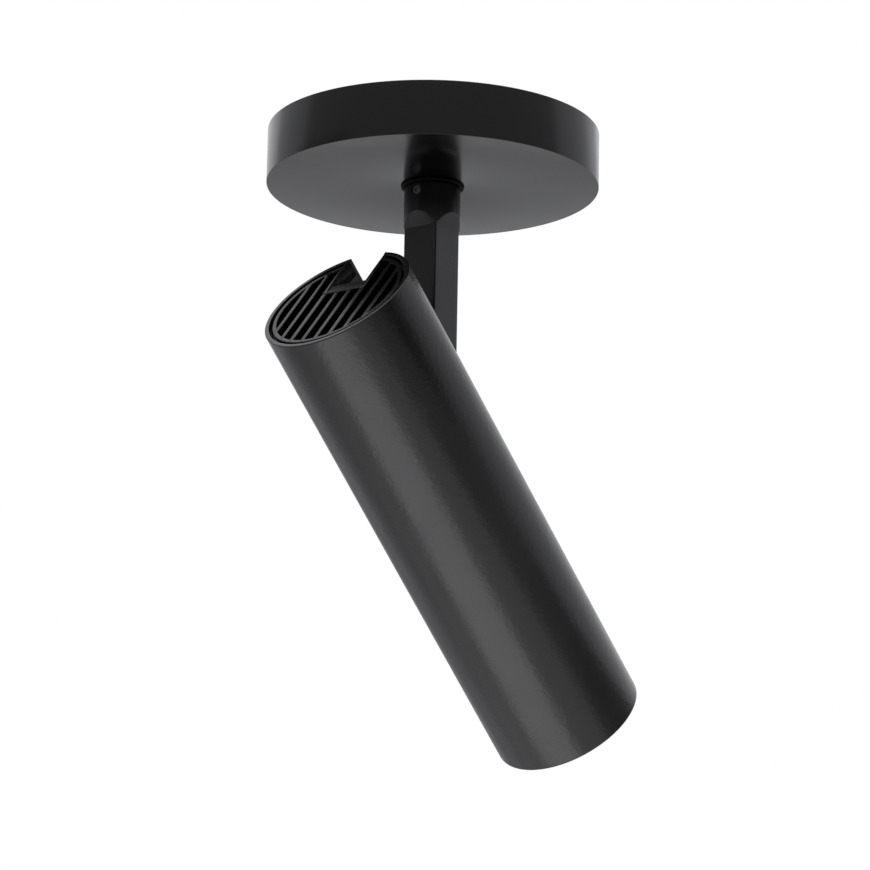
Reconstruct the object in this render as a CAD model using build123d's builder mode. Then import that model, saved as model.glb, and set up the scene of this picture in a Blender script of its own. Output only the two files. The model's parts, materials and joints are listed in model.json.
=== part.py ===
"""Surface mounted ceiling spotlight.

A round canopy sits flat on the ceiling.  A square stem hangs from it on a swivel, and a
cylindrical lamp tilts on a pin near the stem's lower end.  The lamp's rear half is slotted,
so that it can swing from straight down to level around the stem.

Millimetres, +Z up.  The origin is the centre of the canopy's ceiling face.  The lamp tilts in
the XZ plane, about an axis along Y.  The modelled pose leans the lamp's rear end towards -X.
"""
import os
from math import asin, cos, degrees, hypot, radians, sin, sqrt

from build123d import *

# ---------------------------------------------------------------- driving dimensions
# Canopy
canopy_diameter = 120.0
canopy_height = 20.0
canopy_wall = 2.0
canopy_floor = 2.5
canopy_edge_break = 0.4

# Ceiling plate inside the canopy
plate_gap = 6.0            # between the plate's edge and the canopy's wall
plate_thickness = 1.5
fixing_edge_distance = 12.0
fixing_slot_width = 5.0
fixing_slot_length = 12.0
tongue_count = 3
tongue_width = 12.0
tongue_drop = 6.0
tongue_end_gap = 1.5
clip_flange = 5.0
ledge_height = 3.0
ledge_plate_gap = 1.5
lock_angle = 60.0
lock_tab_floor_gap = 2.5
lock_screw_diameter = 3.0
lock_tab_width = 10.0

# Cable entry, terminals, earth
entry_x = -22.0
entry_y = 30.0
entry_diameter = 14.0
cable_diameter = 8.0
grommet_lip = 2.0
grommet_lip_thickness = 1.5
terminal_length = 30.0
terminal_width = 16.0
terminal_height = 11.0
terminal_edge_gap = 8.0
terminal_poles = 3
terminal_pitch = 9.0
terminal_bore = 4.0
terminal_screw_diameter = 3.4
terminal_screw_length = 4.0
terminal_screw_recess = 0.5
terminal_bore_drop = 6.6
terminal_corner = 1.0
earth_x = -22.0
earth_y = -30.0
earth_screw_diameter = 4.0

# Driver
driver_swivel_gap = 3.5
driver_side_gap = 14.0     # between the driver's outer side and the canopy's wall
driver_corner_gap = 3.6
driver_floor_gap = 3.0
driver_wall = 1.5
driver_corner = 2.0
board_thickness = 1.6
transformer_length = 18.0
transformer_side_gap = 3.5
transformer_lid_gap = 0.2
transformer_corner = 1.0
capacitor_lid_gap = 0.4
capacitor_length = 14.0
capacitor_gap = 1.0

# Swivel
nipple_diameter = 10.0
nipple_wall = 1.6
nipple_past_nut = 1.7
nipple_depth_in_stem = 12.5
nipple_chamfer = 0.4
bush_wall = 1.9
bush_flange_width = 6.0
bush_flange_thickness = 1.2
slip_washer_overhang = 1.25
slip_washer_thickness = 0.5
tab_washer_width = 4.0
tab_washer_thickness = 1.2
tab_width = 2.4
tab_past_pin = 1.5
spring_washer_width = 3.0
spring_washer_thickness = 1.4
spring_washer_split = 1.2
spring_washer_turn = 20.0
swivel_nut_wall = 2.0
swivel_nut_thickness = 4.0
stop_pin_diameter = 2.4
stop_pin_past_tab = 1.6
stop_pin_gap = 0.8

# Stem
stem_width = 14.25
stem_corner = 0.45
head_margin = 0.075        # round head beyond the square's corners
head_length = 11.0
head_taper = 5.1
eye_relief = 1.025         # each side of the eye, for a friction washer
wire_bore = 6.0
wire_exit_diameter = 5.0
wire_exit_rise = 13.0
wire_diameter = 2.2
grub_diameter = 4.0
grub_drop = 3.5
grub_recess = 1.0
grub_socket_flats = 2.0
grub_socket_depth = 2.0

# Tilt pivot
tilt_from_vertical = 49.16
pin_diameter = 5.0
pin_head_overhang = 1.7
pin_head_thickness = 1.6
pin_retainer_thickness = 1.0
pin_tip = 0.4
pivot_bush_wall = 1.5
friction_washer_width = 4.0
lamp_swing_gap = 5.5445      # between the lamp's rear rim, as it passes, and the canopy

# Lamp
lamp_diameter = 56.0
lamp_length = 192.0
lamp_wall = 1.7
lamp_rear_edge = 0.35
lamp_front_edge = 0.8
slot_side_gap = 0.375
slot_corner = 2.0
pivot_from_rear = 56.8
housing_wall = 1.6
housing_end_wall = 2.0
housing_base = 3.0
housing_boss_wall = 3.5
housing_boss_height = 1.5
housing_tab_recess = 1.6
housing_lead_hole = 5.0

# Rear grille
grille_recess = 0.8
grille_edge = 0.25
grille_depth = 5.0
grille_groove = 1.2
grille_rim = 2.1
grille_skirt_drop = 2.0
slat_count = 8
slat_width = 1.8
slat_edge_gap = 3.025
grille_bar_gap = 0.3
grille_bar_width = 2.5

# Heat sink and light source
sink_base = 6.0
sink_web = 8.0
sink_fin = 1.8
sink_fin_edge_gap = 3.5
sink_fin_count = 9
base_screw_diameter = 3.0
base_screw_length = 10.0
base_screw_end_gap = 0.5
base_screw_spacing = 30.0
pad_thickness = 0.3
led_board_width = 20.0
led_board_thickness = 1.2
emitter_throat_gap = 1.3
emitter_height = 0.7
holder_edge_gap = 4.3
holder_height = 5.0
holder_window_gap = 1.8
holder_screw_edge = 5.5
holder_screw_diameter = 3.0
holder_screw_length = 8.0
reflector_depth = 25.0
reflector_wall = 1.0
reflector_throat_gap = 2.5
reflector_flange_width = 3.7
reflector_flange = 1.0
reflector_bulge = 1.3
lens_edge_gap = 0.5
lens_thickness = 3.0
lens_chamfer = 0.3
gasket_thickness = 1.0
gasket_width = 2.2
baffle_recess = 1.0
baffle_length = 21.6
baffle_front_wall = 1.5
baffle_rear_wall = 3.2
baffle_ridges = 6
baffle_ridge_depth = 0.6

# Fits and gaps
running_clearance = 0.06   # radial, shafts that turn
seat_clearance = 0.05      # radial, pieces that are pushed in and stay
screw_clearance = 0.25     # radial, screws through plain holes
body_gap = 0.30            # between moving bodies
stem_end_gap = 1.0         # between the stem and the slot's end wall, lamp straight down
pin_head_gap = 0.6         # between the pin's head and the tube's wall
washer_face_gap = 0.05     # each face of a friction washer
socket_flats_ratio = 0.55  # hex socket across flats, as a share of the screw head
head_ratio = 1.8           # screw head diameter, as a share of the thread
head_height_ratio = 0.6    # screw head height, as a share of the thread
driver_slot_width = 0.8    # screwdriver slots
driver_slot_depth = 0.8

# ---------------------------------------------------------------- derived places
canopy_radius = canopy_diameter / 2
canopy_inner_radius = canopy_radius - canopy_wall
canopy_floor_z = -canopy_height + canopy_floor
plate_radius = canopy_inner_radius - plate_gap
plate_under_z = -plate_thickness
fixing_spacing = 2 * (plate_radius - fixing_edge_distance)
tongue_reach = plate_gap - tongue_end_gap
ledge_depth = plate_gap - ledge_plate_gap
lock_drop = -canopy_floor_z - lock_tab_floor_gap - lock_tab_width / 2
terminal_x = -(plate_radius - terminal_edge_gap - terminal_width / 2)

nipple_radius = nipple_diameter / 2
nipple_bore = nipple_diameter - 2 * nipple_wall
bush_radius = nipple_radius + running_clearance + bush_wall
bush_flange_radius = nipple_radius + bush_flange_width
bush_top_z = canopy_floor_z + bush_flange_thickness
tab_washer_top_z = bush_top_z + tab_washer_thickness
spring_washer_top_z = tab_washer_top_z + spring_washer_thickness
nipple_top_z = spring_washer_top_z + swivel_nut_thickness + nipple_past_nut
stop_pin_radius = bush_flange_radius + stop_pin_gap + stop_pin_diameter / 2
stop_pin_height = bush_flange_thickness + tab_washer_thickness + stop_pin_past_tab
tab_reach = stop_pin_radius + tab_past_pin
stem_top_z = -canopy_height - slip_washer_thickness

driver_inner_x = tab_reach + driver_swivel_gap
driver_outer_x = canopy_inner_radius - driver_side_gap
driver_x = (driver_inner_x + driver_outer_x) / 2
driver_width = driver_outer_x - driver_inner_x
driver_length = 2 * sqrt((canopy_inner_radius - driver_corner_gap) ** 2 - driver_outer_x**2)
driver_height = canopy_height - canopy_floor - plate_thickness - driver_floor_gap
driver_inner_corner = driver_corner - driver_wall / 2

half_stem = stem_width / 2
head_radius = half_stem * sqrt(2) + head_margin
eye_thickness = stem_width - 2 * eye_relief
pin_radius = pin_diameter / 2
pin_head_radius = pin_radius + pin_head_overhang
pivot_bush_radius = pin_radius + running_clearance + pivot_bush_wall
friction_washer_radius = pin_radius + friction_washer_width

lamp_radius = lamp_diameter / 2
lamp_inner_radius = lamp_radius - lamp_wall
insert_radius = lamp_inner_radius - 2 * seat_clearance
half_slot = half_stem + slot_side_gap
slot_width = 2 * half_slot
housing_outer = half_slot + housing_wall
boss_face = housing_outer + housing_boss_height
# the pin is as far from the lamp's axis as its head allows
pin_end = boss_face + pin_head_thickness
pivot_x = sqrt((lamp_inner_radius - pin_head_gap) ** 2 - pin_end**2) - pin_head_radius
slot_end_x = pivot_x - half_stem - stem_end_gap
slot_floor = -(pivot_from_rear + half_stem + stem_end_gap)
# and the stem is as long as the lamp's rear rim needs to swing past the canopy
lamp_swing_radius = hypot(lamp_radius + pivot_x, pivot_from_rear)
pivot_z = -(canopy_height + lamp_swing_gap + lamp_swing_radius)

tilt = radians(tilt_from_vertical)
lamp_up = Vector(-sin(tilt), 0, cos(tilt))
lamp_back = Vector(cos(tilt), 0, sin(tilt))
pivot_point = Vector(0, 0, pivot_z)
lamp_rear = pivot_point - lamp_back * pivot_x + lamp_up * pivot_from_rear
lamp_axis = Axis(lamp_rear, lamp_up)

# On lamp_plane x runs towards the slot's open side and y is the tilt axis.
lamp_plane = Plane(origin=lamp_rear, x_dir=lamp_back, z_dir=lamp_up)
# On lamp_section x is the distance from the lamp's axis and y is the height along it.
lamp_section = Plane(origin=lamp_rear, x_dir=lamp_back, z_dir=(0, -1, 0))
# On slot_plane x is the tilt axis and y is the height along the lamp.
slot_plane = Plane(origin=lamp_rear, x_dir=(0, 1, 0), z_dir=lamp_back)
# On pin_plane x runs towards the slot's open side and y along the lamp, centred on the pin.
pin_plane = Plane(origin=pivot_point, x_dir=lamp_back, z_dir=(0, -1, 0))

# From the front end to the heat sink, which fills what is left below the slot.
baffle_front = -lamp_length + baffle_recess
gasket_bottom = baffle_front + baffle_length
lens_bottom = gasket_bottom + gasket_thickness
reflector_bottom = lens_bottom + lens_thickness
reflector_top = reflector_bottom + reflector_depth
board_bottom = reflector_top + body_gap + emitter_height
sink_bottom = board_bottom + led_board_thickness + pad_thickness
sink_top = slot_floor - housing_base
sink_length = sink_top - sink_bottom
holder_bottom = sink_bottom - holder_height
holder_diameter = 2 * (lamp_inner_radius - holder_edge_gap)
holder_screw_spacing = holder_diameter - 2 * holder_screw_edge
holder_window = holder_screw_spacing - holder_screw_diameter * head_ratio - 2 * holder_window_gap
reflector_throat = holder_window - 2 * (reflector_wall + reflector_throat_gap)
reflector_mouth = 2 * (insert_radius - reflector_flange_width)
emitter_diameter = reflector_throat - 2 * emitter_throat_gap
lens_radius = insert_radius - lens_edge_gap


# ---------------------------------------------------------------- canopy and ceiling plate
def polar(radius, angle):
    """The point at a radius and an angle in degrees, on the XY plane."""
    return (radius * cos(radians(angle)), radius * sin(radians(angle)))


with BuildPart() as canopy_shell:
    with BuildSketch(Plane.XY.offset(-canopy_height)):
        Circle(canopy_radius)
    extrude(amount=canopy_height)
    outer_edges = canopy_shell.edges().filter_by(GeomType.CIRCLE)
    chamfer(outer_edges.sort_by(Axis.Z)[0], canopy_edge_break)
    with BuildSketch(Plane.XY.offset(canopy_floor_z)):
        Circle(canopy_inner_radius)
    extrude(amount=canopy_height, mode=Mode.SUBTRACT)
    # three ledges that hang on the ceiling plate's tongues
    with BuildSketch(Plane.XY.offset(-tongue_drop)):
        with PolarLocations(canopy_inner_radius, tongue_count):
            Rectangle(2 * ledge_depth, tongue_width)
        Circle(canopy_inner_radius + canopy_wall / 2, mode=Mode.INTERSECT)
    extrude(amount=ledge_height)
    # the swivel bush's seat
    with BuildSketch(Plane.XY.offset(-canopy_height)):
        Circle(bush_radius + seat_clearance)
    extrude(amount=canopy_floor, mode=Mode.SUBTRACT)
    # the lock screw's hole through the side wall
    lock_x, lock_y = polar(1, lock_angle)
    with BuildSketch(Plane(origin=(0, 0, -lock_drop), z_dir=(lock_x, lock_y, 0))):
        Circle(lock_screw_diameter / 2 + screw_clearance)
    extrude(amount=canopy_radius + 1, mode=Mode.SUBTRACT)
canopy_shell.part.label = "canopy_shell"

with BuildPart() as mounting_plate:
    with BuildSketch(Plane.XY.offset(plate_under_z)):
        Circle(plate_radius)
        with GridLocations(0, fixing_spacing, 1, 2):
            SlotOverall(fixing_slot_length, fixing_slot_width, rotation=90, mode=Mode.SUBTRACT)
        with Locations((entry_x, entry_y)):
            Circle(entry_diameter / 2, mode=Mode.SUBTRACT)
        with Locations((earth_x, earth_y)):
            Circle(earth_screw_diameter / 2 + seat_clearance, mode=Mode.SUBTRACT)
    extrude(amount=plate_thickness)
mounting_plate.part.label = "mounting_plate"

# Z-shaped clips under the plate's edge, whose tongues carry the canopy's ledges
clip_under_z = plate_under_z - plate_thickness
clip_outline = [
    (plate_radius - clip_flange, plate_under_z),
    (plate_radius, plate_under_z),
    (plate_radius, -tongue_drop),
    (plate_radius + tongue_reach, -tongue_drop),
    (plate_radius + tongue_reach, -tongue_drop - plate_thickness),
    (plate_radius - plate_thickness, -tongue_drop - plate_thickness),
    (plate_radius - plate_thickness, clip_under_z),
    (plate_radius - clip_flange, clip_under_z),
]
with BuildPart() as plate_clips:
    for tongue in range(tongue_count):
        with BuildSketch(Plane.XZ.rotated((0, 0, tongue * 360 / tongue_count))):
            with BuildLine():
                Polyline(*clip_outline, close=True)
            make_face()
        extrude(amount=tongue_width / 2, both=True)
plate_clips.part.label = "plate_clips"

# the angle bracket that takes the lock screw
bracket_middle = plate_radius - clip_flange / 2
with BuildPart() as lock_bracket:
    with BuildSketch(Plane.XY.offset(clip_under_z)):
        with Locations(Location(polar(bracket_middle, lock_angle), lock_angle)):
            Rectangle(clip_flange, lock_tab_width)
    extrude(amount=plate_thickness)
    with BuildSketch(Plane.XY.offset(clip_under_z)):
        with Locations(Location(polar(plate_radius - plate_thickness / 2, lock_angle), lock_angle)):
            Rectangle(plate_thickness, lock_tab_width)
    extrude(amount=-(lock_drop + lock_tab_width / 2 + clip_under_z))
    with BuildSketch(Plane(origin=(0, 0, -lock_drop), z_dir=(lock_x, lock_y, 0))):
        Circle(lock_screw_diameter / 2 + seat_clearance)
    extrude(amount=canopy_radius, mode=Mode.SUBTRACT)
lock_bracket.part.label = "lock_bracket"

lock_screw_inner = plate_radius - 2 * plate_thickness
lock_screw_outer = canopy_radius - canopy_edge_break
lock_plane = Plane(
    origin=Vector(lock_x, lock_y, 0) * lock_screw_inner + Vector(0, 0, -lock_drop),
    z_dir=(lock_x, lock_y, 0),
)
with BuildPart() as lock_screw:
    with BuildSketch(lock_plane):
        Circle(lock_screw_diameter / 2)
    extrude(amount=lock_screw_outer - lock_screw_inner)
    with BuildSketch(lock_plane.offset(lock_screw_outer - lock_screw_inner)):
        RegularPolygon(lock_screw_diameter * socket_flats_ratio / 2, 6, major_radius=False)
    extrude(amount=-lock_screw_diameter / 2, mode=Mode.SUBTRACT)
lock_screw.part.label = "lock_screw"

with BuildPart() as cable_grommet:
    lip_radius = entry_diameter / 2 + grommet_lip
    with BuildSketch(Plane.XY.offset(plate_under_z - grommet_lip_thickness)):
        with Locations((entry_x, entry_y)):
            Circle(lip_radius)
    extrude(amount=grommet_lip_thickness)
    with BuildSketch(Plane.XY.offset(plate_under_z)):
        with Locations((entry_x, entry_y)):
            Circle(entry_diameter / 2 - seat_clearance)
    extrude(amount=plate_thickness)
    with BuildSketch(Plane.XY.offset(plate_under_z - grommet_lip_thickness)):
        with Locations((entry_x, entry_y)):
            Circle(cable_diameter / 2)
    extrude(amount=plate_thickness + grommet_lip_thickness, mode=Mode.SUBTRACT)
cable_grommet.part.label = "cable_grommet"

# ---------------------------------------------------------------- terminals and earth
terminal_bottom_z = plate_under_z - terminal_height
pole_offsets = [(pole - (terminal_poles - 1) / 2) * terminal_pitch for pole in range(terminal_poles)]
terminal_spots = [
    (terminal_x + side * terminal_width / 4, offset) for offset in pole_offsets for side in (-1, 1)
]

with BuildPart() as terminal_block:
    with BuildSketch(Plane.XY.offset(terminal_bottom_z)):
        with Locations((terminal_x, 0)):
            RectangleRounded(terminal_width, terminal_length, terminal_corner)
    extrude(amount=terminal_height)
    with BuildSketch(Plane.YZ.offset(terminal_x - terminal_width / 2)):
        with Locations(*[(offset, plate_under_z - terminal_bore_drop) for offset in pole_offsets]):
            Circle(terminal_bore / 2)
    extrude(amount=terminal_width, mode=Mode.SUBTRACT)
    with BuildSketch(Plane.XY.offset(terminal_bottom_z)):
        with Locations(*terminal_spots):
            Circle(terminal_screw_diameter / 2 + seat_clearance)
    extrude(amount=terminal_screw_length + terminal_screw_recess, mode=Mode.SUBTRACT)
terminal_block.part.label = "terminal_block"

with BuildPart() as terminal_screws:
    with BuildSketch(Plane.XY.offset(terminal_bottom_z + terminal_screw_recess)):
        with Locations(*terminal_spots):
            Circle(terminal_screw_diameter / 2)
    extrude(amount=terminal_screw_length)
    with BuildSketch(Plane.XY.offset(terminal_bottom_z + terminal_screw_recess)):
        with Locations(*terminal_spots):
            Rectangle(terminal_screw_diameter, driver_slot_width)
    extrude(amount=driver_slot_depth, mode=Mode.SUBTRACT)
terminal_screws.part.label = "terminal_screws"

with BuildPart() as earth_screw:
    earth_head_radius = earth_screw_diameter * head_ratio / 2
    earth_head_height = earth_screw_diameter * head_height_ratio
    with BuildSketch(Plane.XY.offset(plate_under_z - earth_head_height)):
        with Locations((earth_x, earth_y)):
            Circle(earth_head_radius)
    extrude(amount=earth_head_height)
    with BuildSketch(Plane.XY.offset(plate_under_z - earth_head_height)):
        with Locations((earth_x, earth_y)):
            Rectangle(2 * earth_head_radius, driver_slot_width)
            Rectangle(driver_slot_width, 2 * earth_head_radius)
            Circle(earth_screw_diameter / 2, mode=Mode.INTERSECT)
    extrude(amount=driver_slot_depth, mode=Mode.SUBTRACT)
    with BuildSketch(Plane.XY.offset(plate_under_z)):
        with Locations((earth_x, earth_y)):
            Circle(earth_screw_diameter / 2)
    extrude(amount=plate_thickness)
earth_screw.part.label = "earth_screw"

# ---------------------------------------------------------------- driver
driver_top_z = plate_under_z
driver_bottom_z = driver_top_z - driver_height
driver_lid_z = driver_top_z - driver_wall
board_z = driver_bottom_z + 2 * driver_wall
board_top_z = board_z + board_thickness
transformer_width = driver_width - 2 * driver_wall - 2 * transformer_side_gap
transformer_height = driver_lid_z - board_top_z - transformer_lid_gap
capacitor_diameter = driver_lid_z - board_top_z - capacitor_lid_gap

with BuildPart() as driver_case:
    with BuildSketch(Plane.XY.offset(driver_bottom_z)):
        with Locations((driver_x, 0)):
            RectangleRounded(driver_width, driver_length, driver_corner)
    extrude(amount=driver_height - driver_wall)
    with BuildSketch(Plane.XY.offset(driver_bottom_z + driver_wall)):
        with Locations((driver_x, 0)):
            RectangleRounded(
                driver_width - 2 * driver_wall,
                driver_length - 2 * driver_wall,
                driver_inner_corner,
            )
    extrude(amount=driver_height, mode=Mode.SUBTRACT)
    # four posts that carry the board
    with BuildSketch(Plane.XY.offset(driver_bottom_z + driver_wall)):
        with Locations((driver_x, 0)):
            with GridLocations(driver_width - 4 * driver_wall, driver_length - 4 * driver_wall, 2, 2):
                Rectangle(2 * driver_wall, 2 * driver_wall)
    extrude(amount=driver_wall)
driver_case.part.label = "driver_case"

with BuildPart() as driver_lid:
    with BuildSketch(Plane.XY.offset(driver_lid_z)):
        with Locations((driver_x, 0)):
            RectangleRounded(driver_width, driver_length, driver_corner)
    extrude(amount=driver_wall)
driver_lid.part.label = "driver_lid"

with BuildPart() as driver_board:
    with BuildSketch(Plane.XY.offset(board_z)):
        with Locations((driver_x, 0)):
            RectangleRounded(
                driver_width - 2 * driver_wall - 2 * body_gap,
                driver_length - 2 * driver_wall - 2 * body_gap,
                driver_inner_corner - body_gap,
            )
    extrude(amount=board_thickness)
driver_board.part.label = "driver_board"

with BuildPart() as driver_transformer:
    with BuildSketch(Plane.XY.offset(board_top_z)):
        with Locations((driver_x, 0)):
            RectangleRounded(transformer_width, transformer_length, transformer_corner)
    extrude(amount=transformer_height)
driver_transformer.part.label = "driver_transformer"

with BuildPart() as driver_capacitors:
    capacitor_z = board_top_z + capacitor_diameter / 2
    capacitor_y = transformer_length / 2 + capacitor_gap
    with BuildSketch(Plane(origin=(driver_x, capacitor_y, capacitor_z), z_dir=(0, 1, 0))):
        Circle(capacitor_diameter / 2)
    extrude(amount=capacitor_length)
    mirror(about=Plane.XZ)
driver_capacitors.part.label = "driver_capacitors"

# ---------------------------------------------------------------- swivel
with BuildPart() as swivel_bush:
    with BuildSketch(Plane.XY.offset(-canopy_height)):
        Circle(bush_radius)
    extrude(amount=canopy_floor)
    with BuildSketch(Plane.XY.offset(canopy_floor_z)):
        Circle(bush_flange_radius)
    extrude(amount=bush_flange_thickness)
    Hole(nipple_radius + running_clearance)
swivel_bush.part.label = "swivel_bush"

with BuildPart() as stop_pin:
    with BuildSketch(Plane.XY.offset(canopy_floor_z)):
        with Locations((-stop_pin_radius, 0)):
            Circle(stop_pin_diameter / 2)
    extrude(amount=stop_pin_height)
    chamfer(stop_pin.edges().sort_by(Axis.Z)[-1], stop_pin_diameter / 8)
stop_pin.part.label = "stop_pin"

with BuildPart() as slip_washer:
    with BuildSketch(Plane.XY.offset(stem_top_z)):
        Circle(head_radius + slip_washer_overhang)
        Circle(nipple_radius + seat_clearance, mode=Mode.SUBTRACT)
    extrude(amount=slip_washer_thickness)
slip_washer.part.label = "slip_washer"

with BuildPart() as tab_washer:
    with BuildSketch(Plane.XY.offset(bush_top_z)):
        Circle(nipple_radius + tab_washer_width)
        with Locations((tab_reach / 2, 0)):
            Rectangle(tab_reach, tab_width)
        Circle(nipple_radius + seat_clearance, mode=Mode.SUBTRACT)
    extrude(amount=tab_washer_thickness)
tab_washer.part.label = "tab_washer"

spring_washer_radius = nipple_radius + spring_washer_width
with BuildPart() as spring_washer:
    with BuildSketch(Plane.XY.offset(tab_washer_top_z)):
        Circle(spring_washer_radius)
        Circle(nipple_radius + seat_clearance, mode=Mode.SUBTRACT)
        with Locations((0, spring_washer_radius)):
            Rectangle(
                spring_washer_split,
                2 * spring_washer_radius,
                rotation=spring_washer_turn,
                mode=Mode.SUBTRACT,
            )
    extrude(amount=spring_washer_thickness)
spring_washer.part.label = "spring_washer"

with BuildPart() as swivel_nut:
    with BuildSketch(Plane.XY.offset(spring_washer_top_z)):
        RegularPolygon(nipple_radius + swivel_nut_wall, 6, major_radius=False)
        Circle(nipple_radius + seat_clearance, mode=Mode.SUBTRACT)
    extrude(amount=swivel_nut_thickness)
swivel_nut.part.label = "swivel_nut"

nipple_bottom_z = stem_top_z - nipple_depth_in_stem
with BuildPart() as swivel_nipple:
    with BuildSketch(Plane.XY.offset(nipple_bottom_z)):
        Circle(nipple_radius)
    extrude(amount=nipple_top_z - nipple_bottom_z)
    chamfer(swivel_nipple.edges().filter_by(GeomType.CIRCLE), nipple_chamfer)
    with BuildSketch(Plane.XY.offset(nipple_bottom_z)):
        Circle(nipple_bore / 2)
    extrude(amount=nipple_top_z - nipple_bottom_z, mode=Mode.SUBTRACT)
swivel_nipple.part.label = "swivel_nipple"

# ---------------------------------------------------------------- stem
head_bottom_z = stem_top_z - head_length - head_taper
stem_reach = 2 * head_radius   # past the stem's surface, for cuts
eye_top_z = pivot_z + friction_washer_radius + body_gap
wire_exit_z = pivot_z + wire_exit_rise

with BuildPart() as stem:
    with BuildSketch(Plane.XY.offset(pivot_z - half_stem)):
        RectangleRounded(stem_width, stem_width, stem_corner)
    extrude(amount=head_bottom_z - pivot_z + half_stem)
    with BuildSketch(Plane.XY.offset(head_bottom_z)):
        Circle(head_radius)
    extrude(amount=stem_top_z - head_bottom_z)
    # four sloping flats lead from the round head to the square
    for side in range(4):
        with BuildSketch(Plane.XZ.rotated((0, 0, 90 * side))):
            with BuildLine():
                Polyline(
                    (half_stem, head_bottom_z),
                    (head_radius, head_bottom_z + head_taper),
                    (stem_reach, head_bottom_z + head_taper),
                    (stem_reach, head_bottom_z),
                    close=True,
                )
            make_face()
        extrude(amount=stem_reach, both=True, mode=Mode.SUBTRACT)
    # the lower end is rounded about the tilt pin
    with BuildSketch(Plane.XZ.offset(-stem_width)):
        with Locations((0, pivot_z - half_stem)):
            Rectangle(2 * stem_width, stem_width)
        with Locations((0, pivot_z)):
            Circle(half_stem, mode=Mode.SUBTRACT)
    extrude(amount=2 * stem_width, mode=Mode.SUBTRACT)
    # and is thinner there, to leave room for the friction washers
    eye_height = eye_top_z - pivot_z + stem_width
    for side in (-1, 1):
        with BuildSketch(Plane.YZ.offset(-stem_width)):
            with Locations((side * (eye_thickness / 2 + stem_width / 2), eye_top_z - eye_height / 2)):
                Rectangle(stem_width, eye_height)
        extrude(amount=2 * stem_width, mode=Mode.SUBTRACT)
    # the pin bush's seat
    with BuildSketch(Plane.XZ.offset(-stem_width)):
        with Locations((0, pivot_z)):
            Circle(pivot_bush_radius + seat_clearance)
    extrude(amount=2 * stem_width, mode=Mode.SUBTRACT)
    # the nipple's socket, then the bore for the wires and their way out
    with BuildSketch(Plane.XY.offset(stem_top_z)):
        Circle(nipple_radius + seat_clearance)
    extrude(amount=-nipple_depth_in_stem, mode=Mode.SUBTRACT)
    with BuildSketch(Plane.XY.offset(stem_top_z)):
        Circle(wire_bore / 2)
    extrude(amount=wire_exit_z - stem_top_z - wire_exit_diameter / 2, mode=Mode.SUBTRACT)
    with BuildSketch(Plane.YZ.offset(-stem_width)):
        with Locations((0, wire_exit_z)):
            Circle(wire_exit_diameter / 2)
    extrude(amount=stem_width, mode=Mode.SUBTRACT)
    # the grub screw's hole
    with BuildSketch(Plane.YZ.offset(-stem_reach)):
        with Locations((0, -canopy_height - grub_drop)):
            Circle(grub_diameter / 2 + seat_clearance)
    extrude(amount=stem_reach, mode=Mode.SUBTRACT)
stem.part.label = "stem"

grub_length = head_radius - grub_recess - nipple_radius
with BuildPart() as stem_grub_screw:
    with BuildSketch(Plane.YZ.offset(-nipple_radius - grub_length)):
        with Locations((0, -canopy_height - grub_drop)):
            Circle(grub_diameter / 2)
    extrude(amount=grub_length)
    with BuildSketch(Plane.YZ.offset(-nipple_radius - grub_length)):
        with Locations((0, -canopy_height - grub_drop)):
            RegularPolygon(grub_socket_flats / 2, 6, major_radius=False)
    extrude(amount=grub_socket_depth, mode=Mode.SUBTRACT)
stem_grub_screw.part.label = "stem_grub_screw"

with BuildPart() as stem_wires:
    with BuildSketch(Plane.XY.offset(wire_exit_z)):
        with GridLocations(0, wire_diameter + body_gap / 2, 1, 2):
            Circle(wire_diameter / 2)
    extrude(amount=nipple_top_z - wire_exit_z)
stem_wires.part.label = "stem_wires"

with BuildPart() as pivot_bush:
    with BuildSketch(Plane.XZ.offset(-eye_thickness / 2)):
        with Locations((0, pivot_z)):
            Circle(pivot_bush_radius)
            Circle(pin_radius + running_clearance, mode=Mode.SUBTRACT)
    extrude(amount=eye_thickness)
pivot_bush.part.label = "pivot_bush"

# ---------------------------------------------------------------- lamp tube and slot housing
with BuildPart() as lamp_tube:
    with BuildSketch(lamp_plane.offset(-lamp_length)):
        Circle(lamp_radius)
    extrude(amount=lamp_length)
    rim_edges = lamp_tube.edges().filter_by(GeomType.CIRCLE).sort_by(lamp_axis)
    fillet(rim_edges[0], lamp_front_edge)
    fillet(lamp_tube.edges().filter_by(GeomType.CIRCLE).sort_by(lamp_axis)[-1], lamp_rear_edge)
    with BuildSketch(lamp_plane.offset(-lamp_length)):
        Circle(lamp_inner_radius)
    extrude(amount=lamp_length, mode=Mode.SUBTRACT)
    with BuildSketch(slot_plane):
        with Locations((0, slot_floor / 2)):
            Rectangle(slot_width, -slot_floor)
        fillet(vertices().group_by(Axis.Y)[0], slot_corner)
    extrude(amount=lamp_radius + 1, mode=Mode.SUBTRACT)
lamp_tube.part.label = "lamp_tube"

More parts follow.
